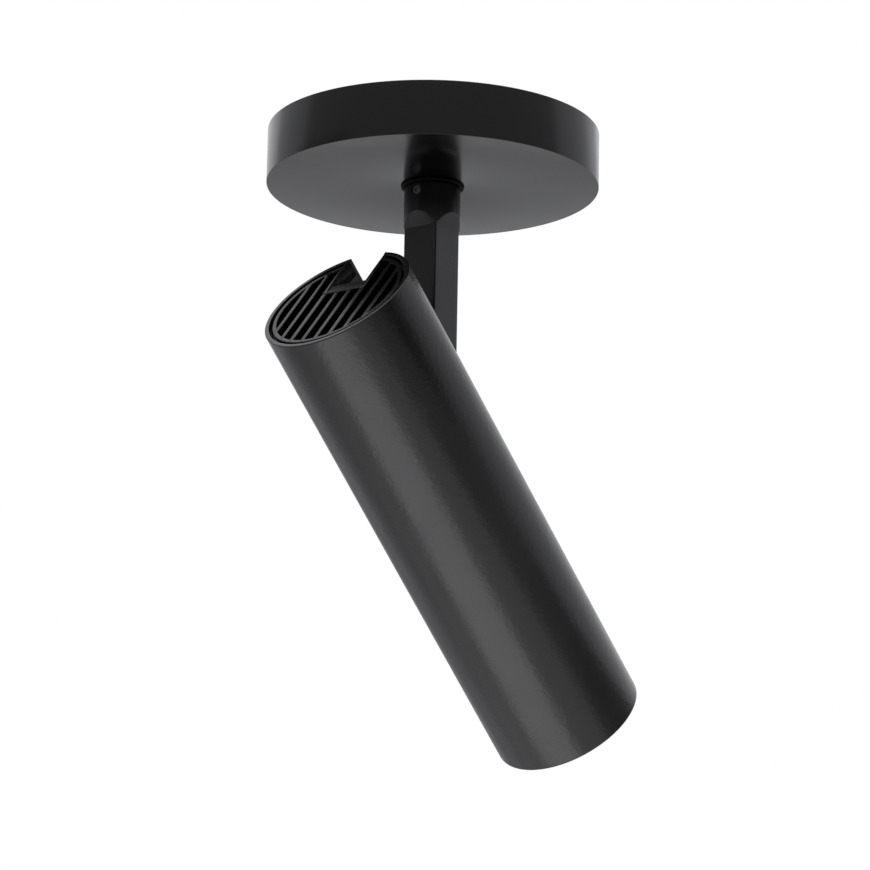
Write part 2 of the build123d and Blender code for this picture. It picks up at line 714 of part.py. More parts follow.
grille_bottom = -grille_recess - grille_depth
with BuildPart() as slot_housing:
    # base plate, side walls, end wall
    with BuildSketch(lamp_plane.offset(slot_floor - housing_base)):
        Circle(insert_radius)
    extrude(amount=housing_base)
    with BuildSketch(lamp_plane.offset(slot_floor)):
        with Locations((slot_end_x - housing_end_wall, 0)):
            Rectangle(lamp_radius, 2 * housing_outer, align=(Align.MIN, Align.CENTER))
        Circle(insert_radius, mode=Mode.INTERSECT)
    extrude(amount=grille_bottom - slot_floor)
    # bosses round the pin
    with BuildSketch(pin_plane):
        Circle(pin_radius + housing_boss_wall)
    extrude(amount=housing_outer + housing_boss_height, both=True)
    with BuildSketch(lamp_plane.offset(slot_floor - housing_base)):
        Circle(insert_radius)
    extrude(amount=lamp_length, mode=Mode.INTERSECT)
    # the slot itself
    with BuildSketch(lamp_plane.offset(slot_floor)):
        with Locations((slot_end_x, 0)):
            Rectangle(lamp_radius, slot_width, align=(Align.MIN, Align.CENTER))
    extrude(amount=-slot_floor, mode=Mode.SUBTRACT)
    # the end wall reaches up between the grille's frame bars
    with BuildSketch(lamp_plane.offset(grille_bottom)):
        with Locations((slot_end_x - housing_end_wall, 0)):
            Rectangle(
                housing_end_wall, slot_width - 4 * seat_clearance, align=(Align.MIN, Align.CENTER)
            )
    extrude(amount=grille_depth + grille_recess - housing_tab_recess)
    # holes: pin, base screws, leads
    with BuildSketch(pin_plane):
        Circle(pin_radius + seat_clearance)
    extrude(amount=lamp_radius, both=True, mode=Mode.SUBTRACT)
    with BuildSketch(lamp_plane.offset(slot_floor - housing_base)):
        with GridLocations(0, base_screw_spacing, 1, 2):
            Circle(base_screw_diameter / 2 + screw_clearance)
    extrude(amount=housing_base, mode=Mode.SUBTRACT)
    with BuildSketch(slot_plane.offset(slot_end_x - housing_end_wall)):
        with Locations((0, -pivot_from_rear + wire_exit_rise)):
            Circle(housing_lead_hole / 2)
    extrude(amount=housing_end_wall, mode=Mode.SUBTRACT)
slot_housing.part.label = "slot_housing"

# ---------------------------------------------------------------- tilt pivot
with BuildPart() as pivot_pin:
    with BuildSketch(pin_plane.offset(-boss_face - pin_retainer_thickness - pin_tip)):
        Circle(pin_radius)
    extrude(amount=2 * boss_face + pin_retainer_thickness + pin_tip)
    with BuildSketch(pin_plane.offset(boss_face)):
        Circle(pin_head_radius)
    extrude(amount=pin_head_thickness)
    with BuildSketch(pin_plane.offset(pin_end)):
        RegularPolygon(pin_head_radius * socket_flats_ratio, 6, major_radius=False)
    extrude(amount=-pin_head_thickness / 2, mode=Mode.SUBTRACT)
pivot_pin.part.label = "pivot_pin"

with BuildPart() as pin_retainer:
    with BuildSketch(pin_plane.offset(-boss_face - pin_retainer_thickness)):
        Circle(pin_head_radius)
        Circle(pin_radius + seat_clearance, mode=Mode.SUBTRACT)
    extrude(amount=pin_retainer_thickness)
pin_retainer.part.label = "pin_retainer"

washer_thickness = half_slot - eye_thickness / 2 - 2 * washer_face_gap
with BuildPart() as friction_washers:
    for side in (-1, 1):
        washer_middle = side * (half_slot - washer_face_gap - washer_thickness / 2)
        with BuildSketch(pin_plane.offset(washer_middle - washer_thickness / 2)):
            Circle(friction_washer_radius)
            Circle(pin_radius + seat_clearance, mode=Mode.SUBTRACT)
        extrude(amount=washer_thickness)
friction_washers.part.label = "friction_washers"

# ---------------------------------------------------------------- rear grille
grille_radius = lamp_inner_radius - grille_groove
grille_opening = grille_radius - grille_rim
grille_bar_end = slot_end_x - housing_end_wall - grille_bar_gap
slat_pitch = (2 * (grille_opening - slat_edge_gap) - slat_width) / (slat_count - 1)
slat_offsets = [(slat - (slat_count - 1) / 2) * slat_pitch for slat in range(slat_count)]
with BuildPart() as rear_grille:
    with BuildSketch(lamp_plane.offset(grille_bottom)):
        Circle(grille_radius)
    extrude(amount=grille_depth)
    top_edge = rear_grille.edges().filter_by(GeomType.CIRCLE).sort_by(lamp_axis)[-1]
    chamfer(top_edge, grille_edge)
    with BuildSketch(lamp_plane.offset(grille_bottom)):
        Circle(insert_radius)
    extrude(amount=grille_depth - grille_skirt_drop)
    # the gaps between the slats
    with BuildSketch(lamp_plane.offset(grille_bottom)):
        Circle(grille_opening)
        with Locations(*[(0, offset) for offset in slat_offsets]):
            Rectangle(lamp_diameter, slat_width, mode=Mode.SUBTRACT)
        with Locations((grille_bar_end - grille_bar_width, 0)):
            Rectangle(
                lamp_radius, 2 * housing_outer, align=(Align.MIN, Align.CENTER), mode=Mode.SUBTRACT
            )
    extrude(amount=grille_depth, mode=Mode.SUBTRACT)
    # the slot for the stem
    with BuildSketch(lamp_plane.offset(grille_bottom)):
        with Locations((grille_bar_end, 0)):
            Rectangle(lamp_radius, slot_width, align=(Align.MIN, Align.CENTER))
    extrude(amount=grille_depth, mode=Mode.SUBTRACT)
rear_grille.part.label = "rear_grille"

# ---------------------------------------------------------------- heat sink
sink_fin_pitch = (2 * (insert_radius - sink_fin_edge_gap) - sink_fin) / (sink_fin_count - 1)
with BuildPart() as heat_sink:
    with BuildSketch(lamp_plane.offset(sink_bottom + sink_base)):
        Rectangle(sink_web, lamp_diameter)
        fin_offsets = [(fin - (sink_fin_count - 1) / 2) * sink_fin_pitch for fin in range(sink_fin_count)]
        with Locations(*[(0, offset) for offset in fin_offsets]):
            Rectangle(lamp_diameter, sink_fin)
        Circle(insert_radius, mode=Mode.INTERSECT)
    extrude(amount=sink_length - sink_base)
    with BuildSketch(lamp_plane.offset(sink_bottom)):
        Circle(insert_radius)
    extrude(amount=sink_base)
    with BuildSketch(lamp_plane.offset(sink_top)):
        with GridLocations(0, base_screw_spacing, 1, 2):
            Circle(base_screw_diameter / 2 + seat_clearance)
    extrude(amount=-base_screw_length, mode=Mode.SUBTRACT)
    with BuildSketch(lamp_plane.offset(sink_bottom)):
        with GridLocations(holder_screw_spacing, 0, 2, 1):
            Circle(holder_screw_diameter / 2 + seat_clearance)
    extrude(amount=sink_base, mode=Mode.SUBTRACT)
heat_sink.part.label = "heat_sink"

base_head_height = base_screw_diameter * head_height_ratio
with BuildPart() as base_screws:
    with BuildSketch(lamp_plane.offset(slot_floor - base_screw_length + base_screw_end_gap)):
        with GridLocations(0, base_screw_spacing, 1, 2):
            Circle(base_screw_diameter / 2)
    extrude(amount=base_screw_length - base_screw_end_gap)
    with BuildSketch(lamp_plane.offset(slot_floor)):
        with GridLocations(0, base_screw_spacing, 1, 2):
            Circle(base_screw_diameter * head_ratio / 2)
    extrude(amount=base_head_height)
    with BuildSketch(lamp_plane.offset(slot_floor + base_head_height)):
        with GridLocations(0, base_screw_spacing, 1, 2):
            RegularPolygon(base_screw_diameter * socket_flats_ratio / 2, 6, major_radius=False)
    extrude(amount=-base_head_height / 2, mode=Mode.SUBTRACT)
base_screws.part.label = "base_screws"

# ---------------------------------------------------------------- light source
with BuildPart() as thermal_pad:
    with BuildSketch(lamp_plane.offset(sink_bottom - pad_thickness)):
        Rectangle(led_board_width, led_board_width)
    extrude(amount=pad_thickness)
thermal_pad.part.label = "thermal_pad"

with BuildPart() as led_board:
    with BuildSketch(lamp_plane.offset(board_bottom)):
        Rectangle(led_board_width, led_board_width)
    extrude(amount=led_board_thickness)
led_board.part.label = "led_board"

with BuildPart() as led_emitter:
    with BuildSketch(lamp_plane.offset(board_bottom - emitter_height)):
        Circle(emitter_diameter / 2)
    extrude(amount=emitter_height)
    front_edge = led_emitter.edges().filter_by(GeomType.CIRCLE).sort_by(lamp_axis)[0]
    chamfer(front_edge, emitter_height / 2)
led_emitter.part.label = "led_emitter"

with BuildPart() as led_holder:
    with BuildSketch(lamp_plane.offset(holder_bottom)):
        Circle(holder_diameter / 2)
        Circle(holder_window / 2, mode=Mode.SUBTRACT)
        with GridLocations(holder_screw_spacing, 0, 2, 1):
            Circle(holder_screw_diameter / 2 + screw_clearance, mode=Mode.SUBTRACT)
    extrude(amount=holder_height)
    with BuildSketch(lamp_plane.offset(board_bottom)):
        Rectangle(led_board_width + 2 * seat_clearance, led_board_width + 2 * seat_clearance)
    extrude(amount=pad_thickness + led_board_thickness, mode=Mode.SUBTRACT)
led_holder.part.label = "led_holder"

holder_head_height = holder_screw_diameter * head_height_ratio
with BuildPart() as holder_screws:
    with BuildSketch(lamp_plane.offset(holder_bottom)):
        with GridLocations(holder_screw_spacing, 0, 2, 1):
            Circle(holder_screw_diameter / 2)
    extrude(amount=holder_screw_length)
    with BuildSketch(lamp_plane.offset(holder_bottom - holder_head_height)):
        with GridLocations(holder_screw_spacing, 0, 2, 1):
            Circle(holder_screw_diameter * head_ratio / 2)
    extrude(amount=holder_head_height)
holder_screws.part.label = "holder_screws"

# ---------------------------------------------------------------- reflector, lens and front baffle
throat_radius = reflector_throat / 2
mouth_radius = reflector_mouth / 2
cup_middle = (
    (throat_radius + mouth_radius) / 2 + reflector_bulge,
    (reflector_top + reflector_bottom) / 2,
)
with BuildPart() as reflector:
    with BuildSketch(lamp_section):
        with BuildLine():
            ThreePointArc((throat_radius, reflector_top), cup_middle, (mouth_radius, reflector_bottom))
            Polyline(
                (mouth_radius, reflector_bottom),
                (insert_radius, reflector_bottom),
                (insert_radius, reflector_bottom + reflector_flange),
                (mouth_radius + reflector_wall, reflector_bottom + reflector_flange),
            )
            ThreePointArc(
                (mouth_radius + reflector_wall, reflector_bottom + reflector_flange),
                (cup_middle[0] + reflector_wall, cup_middle[1]),
                (throat_radius + reflector_wall, reflector_top),
            )
            Line((throat_radius + reflector_wall, reflector_top), (throat_radius, reflector_top))
        make_face()
    revolve(axis=lamp_axis)
reflector.part.label = "reflector"

with BuildPart() as front_lens:
    with BuildSketch(lamp_plane.offset(lens_bottom)):
        Circle(lens_radius)
    extrude(amount=lens_thickness)
    chamfer(front_lens.edges().filter_by(GeomType.CIRCLE), lens_chamfer)
front_lens.part.label = "front_lens"

with BuildPart() as lens_gasket:
    with BuildSketch(lamp_plane.offset(gasket_bottom)):
        Circle(lens_radius)
        Circle(lens_radius - gasket_width, mode=Mode.SUBTRACT)
    extrude(amount=gasket_thickness)
lens_gasket.part.label = "lens_gasket"

ridge_pitch = baffle_length / baffle_ridges
ridge_growth = (baffle_rear_wall - baffle_front_wall) / baffle_ridges
with BuildPart() as front_baffle:
    with BuildSketch(lamp_plane.offset(baffle_front)):
        Circle(insert_radius)
        Circle(insert_radius - baffle_front_wall, mode=Mode.SUBTRACT)
    extrude(amount=baffle_length)
    # stepped rings that keep glare off the baffle's wall
    with BuildSketch(lamp_section):
        for ridge in range(baffle_ridges):
            ridge_start = baffle_front + ridge * ridge_pitch
            ridge_inner = insert_radius - baffle_front_wall - (ridge + 1) * ridge_growth
            with BuildLine():
                Polyline(
                    (insert_radius, ridge_start),
                    (ridge_inner + baffle_ridge_depth, ridge_start),
                    (ridge_inner, ridge_start + ridge_pitch),
                    (insert_radius, ridge_start + ridge_pitch),
                    close=True,
                )
            make_face()
    revolve(axis=lamp_axis)
front_baffle.part.label = "front_baffle"

# ---------------------------------------------------------------- export
pieces = [
    canopy_shell, mounting_plate, plate_clips, lock_bracket, lock_screw, cable_grommet,
    terminal_block, terminal_screws, earth_screw,
    driver_case, driver_lid, driver_board, driver_transformer, driver_capacitors,
    swivel_bush, stop_pin, slip_washer, tab_washer, spring_washer, swivel_nut, swivel_nipple,
    stem, stem_grub_screw, stem_wires, pivot_bush,
    lamp_tube, slot_housing, pivot_pin, pin_retainer, friction_washers, rear_grille,
    heat_sink, base_screws, thermal_pad, led_board, led_emitter, led_holder, holder_screws,
    reflector, front_lens, lens_gasket, front_baffle,
]
os.makedirs("parts", exist_ok=True)
for piece in pieces:
    export_step(piece.part, f"parts/{piece.part.label}.step")

stop_half_angle = 2 * degrees(asin(stop_pin_diameter / 2 / stop_pin_radius))
print(f"swivel stops at {180 - stop_half_angle:.1f} degrees each way")
print(f"pivot {pivot_point}, rear centre {lamp_rear}")
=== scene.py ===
# %% [markdown]
# # A surface mounted ceiling spotlight
# This lesson dresses a finished CAD model of a ceiling spotlight for a studio picture.
# A round black canopy hangs on the ceiling, a square stem turns in it, and a slotted tube
# tilts on the stem's lower end. The CAD model is the fixed frame: every piece here is built
# in metres, in the same place, and rides on one of its three moving bodies.

# %% Load the fixed frame
import json
import math

import bmesh
import bpy
from mathutils import Matrix, Vector


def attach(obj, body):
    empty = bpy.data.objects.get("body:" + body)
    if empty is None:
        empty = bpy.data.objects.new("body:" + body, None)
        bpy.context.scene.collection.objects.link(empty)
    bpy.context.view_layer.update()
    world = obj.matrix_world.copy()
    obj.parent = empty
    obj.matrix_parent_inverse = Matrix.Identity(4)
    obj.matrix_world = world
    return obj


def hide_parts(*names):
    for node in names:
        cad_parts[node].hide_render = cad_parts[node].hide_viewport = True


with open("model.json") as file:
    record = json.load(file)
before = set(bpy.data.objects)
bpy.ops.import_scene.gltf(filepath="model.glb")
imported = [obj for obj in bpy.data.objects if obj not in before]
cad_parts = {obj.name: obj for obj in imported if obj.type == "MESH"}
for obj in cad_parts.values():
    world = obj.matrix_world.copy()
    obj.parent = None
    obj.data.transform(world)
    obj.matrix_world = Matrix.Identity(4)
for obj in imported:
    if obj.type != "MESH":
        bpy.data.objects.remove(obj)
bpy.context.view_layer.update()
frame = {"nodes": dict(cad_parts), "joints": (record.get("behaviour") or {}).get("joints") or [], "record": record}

# %% [markdown]
# The lamp hangs at an angle, so most of its parts are easiest to describe along its own axis:
# up the tube, across it, and out through its slot. One matrix carries that description into
# the frame. It is worked out from the tilt joint, which is where the pin goes through.

# %% The lamp's own axes
MM = 0.001
TILT = math.radians(49.16)                # the tube's lean from straight down, at rest
PIVOT_IN_LAMP = Vector((18.4197, 0.0, -56.8)) * MM   # the pin, seen from the rear rim's centre

tilt_joint = next(j for j in frame["joints"] if j["name"] == "tilt")
lamp_turn = Matrix.Rotation(-TILT, 4, "Y")
lamp_rear = Vector(tilt_joint["pos_m"]) - lamp_turn.to_3x3() @ PIVOT_IN_LAMP
LAMP = Matrix.Translation(lamp_rear) @ lamp_turn
HERE = Matrix.Identity(4)
pivot_z = tilt_joint["pos_m"][2] / MM
print("rear rim centre (mm):", [round(c / MM, 2) for c in lamp_rear])
print("tilt pin's height (mm):", round(pivot_z, 2))

# %% [markdown]
# The picture was taken from below and to one side with a long lens, which keeps the tube's
# sides nearly parallel. A camera needs a place, a direction and a roll. They could be found
# by eye, but here they come from lining up the outlines of the canopy and the tube.

# %% Camera
CAMERA_PLACE = Vector((-1.16339, -0.85679, -0.48331))
CAMERA_FORWARD = Vector((0.780966, 0.572963, 0.248606)).normalized()
CAMERA_ROLL = math.radians(1.10825)
SENSOR_WIDTH, LENS = 36.0, 173.558        # mm
NEAREST, FURTHEST = 0.05, 100.0           # m: what the camera can see lies between these
LOOKED_AT = Vector((0, 0, -0.1))          # about the middle of the lamp

level_right = CAMERA_FORWARD.cross(Vector((0, 0, 1))).normalized()
level_up = level_right.cross(CAMERA_FORWARD)
right = math.cos(CAMERA_ROLL) * level_right + math.sin(CAMERA_ROLL) * level_up
up = -math.sin(CAMERA_ROLL) * level_right + math.cos(CAMERA_ROLL) * level_up

lens_data = bpy.data.cameras.new("long_lens")
lens_data.sensor_width = SENSOR_WIDTH
lens_data.lens = LENS
lens_data.clip_start = NEAREST
lens_data.clip_end = FURTHEST
camera = bpy.data.objects.new("camera", lens_data)
bpy.context.scene.collection.objects.link(camera)
facing = Matrix((right, up, -CAMERA_FORWARD)).transposed().to_4x4()
camera.matrix_world = Matrix.Translation(CAMERA_PLACE) @ facing
bpy.context.scene.camera = camera
print("camera is", round((CAMERA_PLACE - LOOKED_AT).length, 3), "m away")

# %% [markdown]
# ## Small tools for node trees
# A material is a tree of nodes, and wiring it by hand repeats the same three steps: make a
# node, set its values, link its sockets. One function does all three. A value that is itself
# a socket gets linked, and anything else is set. A second function starts a node group,
# which is an effect with named inputs and outputs that several materials can share. The rest
# are sums that come up again and again. Each hands back the socket with its result.

# %% Node helpers
def add(tree, kind, values=(), **settings):
    """Makes a node, gives it its settings, then sets or links each input in values."""
    made = tree.nodes.new(kind)
    for name, value in settings.items():
        setattr(made, name, value)
    for name, value in dict(values).items():
        if isinstance(value, bpy.types.NodeSocket):
            tree.links.new(value, made.inputs[name])
        else:
            made.inputs[name].default_value = value
    return made


def start_group(name, inputs, outputs):
    """An empty node group with named sockets: (name, kind) or (name, kind, value)."""
    group = bpy.data.node_groups.new(name, "ShaderNodeTree")
    for label, kind, *value in inputs:
        socket = group.interface.new_socket(
            label, in_out="INPUT", socket_type="NodeSocket" + kind)
        if value:
            socket.default_value = value[0]
    for label, kind in outputs:
        group.interface.new_socket(label, in_out="OUTPUT", socket_type="NodeSocket" + kind)
    return group, add(group, "NodeGroupInput").outputs


def math_node(tree, operation, a, b, clamp=False):
    """One sum of two numbers."""
    made = add(tree, "ShaderNodeMath", {0: a, 1: b}, operation=operation, use_clamp=clamp)
    return made.outputs[0]


def remap(tree, value, low, high, to_low, to_high):
    """Stretches the range from low to high onto another one, and stops at its ends."""
    return add(tree, "ShaderNodeMapRange", {
        "Value": value, "From Min": low, "From Max": high, "To Min": to_low, "To Max": to_high,
    }).outputs["Result"]


def scaled(tree, colour, factor):
    """A colour times a number."""
    made = add(tree, "ShaderNodeVectorMath", {0: colour, "Scale": factor}, operation="SCALE")
    return made.outputs[0]


def mixed_colour(tree, factor, a, b):
    """Two colours mixed. The Mix node keeps its colours in inputs 6 and 7 and output 2."""
    made = add(tree, "ShaderNodeMix", {"Factor": factor, 6: a, 7: b}, data_type="RGBA")
    return made.outputs[2]


def noise(tree, vector, scale, detail=2.0, rough=0.5, distortion=0.0):
    """Soft random cloud from 0 to 1. scale is the number of puffs in a metre."""
    return add(tree, "ShaderNodeTexNoise", {
        "Vector": vector, "Scale": scale, "Detail": detail, "Roughness": rough,
        "Distortion": distortion,
    }).outputs["Fac"]


print("node helpers ready")

# %% [markdown]
# ## The studio
# The real picture has a pure white background. The world is plain white to the camera and to
# reflections, and dimmer as a source of light, so that the background never overlights the
# object. The Light Path node tells these rays apart.

# %% World
FILL = 0.42                               # the world's strength as a light

scene = bpy.context.scene
scene.view_settings.view_transform = "Standard"
world = bpy.data.worlds.new("white_studio")
scene.world = world
world.use_nodes = True
world.node_tree.nodes.clear()


def seen_directly(tree):
    """1 for rays from the camera, from a reflection or through glass, else 0."""
    path = add(tree, "ShaderNodeLightPath").outputs
    either = math_node(tree, "MAXIMUM", path["Is Camera Ray"], path["Is Glossy Ray"])
    return math_node(tree, "MAXIMUM", either, path["Is Transmission Ray"])


wt = world.node_tree
strength = math_node(wt, "ADD", FILL, math_node(wt, "MULTIPLY", seen_directly(wt), 1.0 - FILL))
sky = add(wt, "ShaderNodeBackground", {"Color": (1, 1, 1, 1), "Strength": strength})
add(wt, "ShaderNodeOutputWorld", {"Surface": sky.outputs[0]})
print("world fill:", FILL)

# %% [markdown]
# The floor lies well below, as under a real ceiling lamp. It is a wide disc of pale paint.
# Where the camera sees it, most of its colour is plain white, and the rest is the lit paint,
# so the lamp's soft shadow still falls on it.

# %% Floor
FLOOR_Z = -2.0
FLOOR_RADIUS = 40.0
DARKEST, PALEST = 0.86, 0.90              # the paint's slow change from place to place
PUFFS = 0.6                               # of that change, in a metre
PLAIN_WHITE = 0.85                        # share of plain white where the camera sees the floor

bm = bmesh.new()
bmesh.ops.create_circle(bm, cap_ends=True, segments=96, radius=FLOOR_RADIUS)
floor_mesh = bpy.data.meshes.new("floor")
bm.to_mesh(floor_mesh)
bm.free()
floor = bpy.data.objects.new("floor", floor_mesh)
scene.collection.objects.link(floor)
floor.location.z = FLOOR_Z

floor_paint = bpy.data.materials.new("floor_paint")
floor_paint.use_nodes = True
ft = floor_paint.node_tree
ft.nodes.clear()
where = add(ft, "ShaderNodeTexCoord").outputs["Object"]
pale = remap(ft, noise(ft, where, PUFFS), 0.0, 1.0, DARKEST, PALEST)
lit = add(ft, "ShaderNodeBsdfDiffuse", {"Color": pale})
white = add(ft, "ShaderNodeEmission", {"Color": (1, 1, 1, 1), "Strength": 1.0})
whiten = math_node(ft, "MULTIPLY", seen_directly(ft), PLAIN_WHITE)
mixed = add(ft, "ShaderNodeMixShader", {0: whiten, 1: lit.outputs[0], 2: white.outputs[0]})
add(ft, "ShaderNodeOutputMaterial", {"Surface": mixed.outputs[0]})
floor_mesh.materials.append(floor_paint)
print("floor at", FLOOR_Z, "m")

# %% [markdown]
# Black satin paint shows almost only what it reflects, so the lights are large and soft and
# each one makes one tone in the picture. A box below draws the long pale band down the tube
# and lights the canopy's underside. One above lights what faces up. Their brightness is
# written for each square metre, so a box can change its size and keep its tone.

# %% Softboxes
CENTRE = Vector((0.01, 0.0, -0.11))
COOL_WHITE = (0.945, 0.955, 1.0)          # studio flash is a touch cooler than the white floor
WATTS = 4.0                               # for a square metre of brightness 1


def softbox(name, place, side, brightness):
    """A square lamp that shines from place towards the object."""
    data = bpy.data.lights.new(name, "AREA")
    data.shape = "SQUARE"
    data.size = side
    data.energy = WATTS * side * side * brightness
    data.color = COOL_WHITE
    box = bpy.data.objects.new(name, data)
    scene.collection.objects.link(box)
    box.location = place
    box.rotation_euler = (CENTRE - Vector(place)).to_track_quat("-Z", "Y").to_euler()
    box.visible_camera = False
    box.visible_transmission = False


softbox("box_below", (-0.32, -0.11, -1.37), 1.1, 1.17)
softbox("box_above", (0.2, 0.2, 1.4), 1.8, 0.85)

# %% [markdown]
# A photographer also takes light away. Curved cards stand round the object: a dark one on
# the camera's side, so that the faces that look at the camera reflect the dim end of the
# studio, a grey one to each side that leads up to the white, and more behind and above. Three
# small ones stand close by: one dims the right flank near the lamp's front end, one the stem's
# left face, and one the stem's head. Only reflections see them: they hide nothing and throw
# no shadow. Where one ends and the next begins was settled by tracing reflections back.

# %% Reflection cards
FAR, CLOSE, CLOSEST = 1.9, 0.25, 0.2      # m from the middle of a card's circle
MIDDLE = (0.0, 0.0)
CARD_STEP = 4                             # degrees to one flat strip of a card


def curved_card(name, start, end, low, high, tone, radius=FAR, centre=MIDDLE):
    """A piece of a tall cylinder wall between two azimuths in degrees, of one plain tone."""
    steps = max(4, round((end - start) / CARD_STEP))
    points, faces = [], []
    for k in range(steps + 1):
        angle = math.radians(start + (end - start) * k / steps)
        for z in (low, high):
            x = centre[0] + radius * math.cos(angle)
            y = centre[1] + radius * math.sin(angle)
            points.append((x, y, z))
        if k:
            faces.append((2 * k - 2, 2 * k, 2 * k + 1, 2 * k - 1))
    mesh = bpy.data.meshes.new(name)
    mesh.from_pydata(points, [], faces)
    card = bpy.data.objects.new(name, mesh)
    scene.collection.objects.link(card)
    coat = bpy.data.materials.new(name)
    coat.use_nodes = True
    tree = coat.node_tree
    tree.nodes.clear()
    glow = add(tree, "ShaderNodeEmission", {"Color": (*COOL_WHITE, 1), "Strength": tone})
    add(tree, "ShaderNodeOutputMaterial", {"Surface": glow.outputs[0]})
    mesh.materials.append(coat)
    card.visible_camera = card.visible_diffuse = card.visible_transmission = False
    card.visible_shadow = card.visible_volume_scatter = False


for card in [
    # name, from and to round the object, low and high, tone
    ("card_front", -240.0, -52.0, -1.25, 1.6, 0.39),
    ("card_right", -52.0, -12.0, -1.00, 1.6, 0.66),
    ("card_far_right", -12.0, 10.0, -0.10, 1.6, 0.80),
    ("card_left", 82.0, 120.0, -0.95, 1.6, 0.66),
    ("card_top", 40.0, 120.0, 1.6, 4.2, 0.40),
    ("card_near", -66.0, -8.0, -0.30, -0.162, 0.23, CLOSEST, (0.08, -0.02)),
    ("card_stem", 124.0, 164.0, -0.12, 0.024, 0.26, CLOSE),
    ("card_head", 164.0, 290.0, -0.125, -0.045, 0.03, CLOSE),
    ("card_behind", 10.0, 50.0, -0.95, 0.10, 0.56),
    ("card_behind_dim", 50.0, 66.0, -0.95, 0.10, 0.40),
    ("card_behind_pale", 66.0, 82.0, -0.95, 0.10, 0.76),
    ("card_low_left", 60.0, 125.0, -1.95, -0.95, 0.64),
]:
    curved_card(*card)

# %% [markdown]
# ## Mesh tools
# Nearly every part of a spotlight is turned on a lathe, pressed or cut. So the tools are a
# lathe, which turns an outline round an axis, a prism, which gives an outline a height, and
# a cutter, which takes one solid from another. Real edges are never perfectly sharp: an
# outline's corners are replaced by small arcs, so that they catch a thin line of light.

# %% Outlines with rounded corners
def rounded(corners, steps=4):
    """Corners as (x, y) or (x, y, radius), in mm. Each radius becomes an arc."""
    outline = []
    for k, corner in enumerate(corners):
        here = Vector(corner[:2])
        radius = corner[2] if len(corner) > 2 else 0.0
        if not radius:
            outline.append(here)
            continue
        back = (Vector(corners[k - 1][:2]) - here).normalized()
        ahead = (Vector(corners[(k + 1) % len(corners)][:2]) - here).normalized()
        half = math.acos(max(-1.0, min(1.0, back.dot(ahead)))) / 2
        middle = here + (back + ahead).normalized() * (radius / math.sin(half))
        first = here + back * (radius / math.tan(half)) - middle
        last = here + ahead * (radius / math.tan(half)) - middle
        turn = math.atan2(first.x * last.y - first.y * last.x, first.dot(last))
        for step in range(steps + 1):
            outline.append(middle + Matrix.Rotation(turn * step / steps, 2) @ first)
    return outline


def arc(radius, start, end, steps):
    """Points on a circle about the origin, angles in degrees."""
    angles = [math.radians(start + (end - start) * k / steps) for k in range(steps + 1)]
    return [(radius * math.cos(a), radius * math.sin(a)) for a in angles]


def circle(radius, points=48):
    """A whole circle. Its last point isn't its first one again."""
    return arc(radius, 0, 360 - 360 / points, points - 1)


print("a rounded square has", len(rounded([(0, 0, 1), (9, 0, 1), (9, 9, 1), (0, 9, 1)])), "points")

# %% Lathe, prism and cutter
SAME_PLACE = 1e-5                         # mm: two points this near become one


def new_piece(name, bm, place):
    """A mesh object from bmesh work in mm, put into the frame."""
    bmesh.ops.remove_doubles(bm, verts=bm.verts, dist=SAME_PLACE)
    bmesh.ops.recalc_face_normals(bm, faces=bm.faces)
    bm.transform(place @ Matrix.Scale(MM, 4))
    mesh = bpy.data.meshes.new(name)
    bm.to_mesh(mesh)
    bm.free()
    piece = bpy.data.objects.new(name, mesh)
    scene.collection.objects.link(piece)
    return piece


def lathe(name, outline, place=HERE, segments=256, reach=None):
    """Turns a closed outline of (radius, height) about Z. reach can change a ring's radius by
    its row and angle. Segments start half a step round, so a flat cut misses the corners."""
    bm = bmesh.new()
    rings = []
    for row, (radius, height) in enumerate(outline):
        if radius < 1e-6:
            rings.append([bm.verts.new((0, 0, height))] * segments)
            continue
        ring = []
        for k in range(segments):
            angle = 2 * math.pi * (k + 0.5) / segments
            r = reach(row, angle, radius) if reach else radius
            ring.append(bm.verts.new((r * math.cos(angle), r * math.sin(angle), height)))
        rings.append(ring)
    for ring, after in zip(rings, rings[1:] + rings[:1]):
        for k in range(segments):
            n = (k + 1) % segments
            corners = list(dict.fromkeys([ring[k], ring[n], after[n], after[k]]))
            if len(corners) > 2:
                bm.faces.new(corners)
    return new_piece(name, bm, place)


def prism(name, outlines, low, high, place=HERE):
    """Gives one closed outline, or several that stay apart, a height."""
    bm = bmesh.new()
    for outline in outlines if isinstance(outlines[0][0], (tuple, Vector)) else [outlines]:
        bottom = [bm.verts.new((x, y, low)) for x, y in outline]
        top = [bm.verts.new((x, y, high)) for x, y in outline]
        bm.faces.new(bottom)
        bm.faces.new(top)
        for k in range(len(outline)):
            n = (k + 1) % len(outline)
            bm.faces.new((bottom[k], bottom[n], top[n], top[k]))
    return new_piece(name, bm, place)


def settle(piece):
    """Writes a piece's modifiers into its mesh."""
    bpy.context.view_layer.update()
    ready = piece.evaluated_get(bpy.context.evaluated_depsgraph_get())
    mesh = bpy.data.meshes.new_from_object(ready)
    piece.modifiers.clear()
    worn_out, piece.data = piece.data, mesh
    bpy.data.meshes.remove(worn_out)
    mesh.name = piece.name
    return piece


def combine(piece, tool, how="DIFFERENCE"):
    """Cuts tool out of piece, or joins it on, and throws the tool away."""
    step = piece.modifiers.new("combine", "BOOLEAN")
    step.operation = how
    step.solver = "EXACT"
    step.object = tool
    settle(piece)
    bpy.data.objects.remove(tool)
    return piece


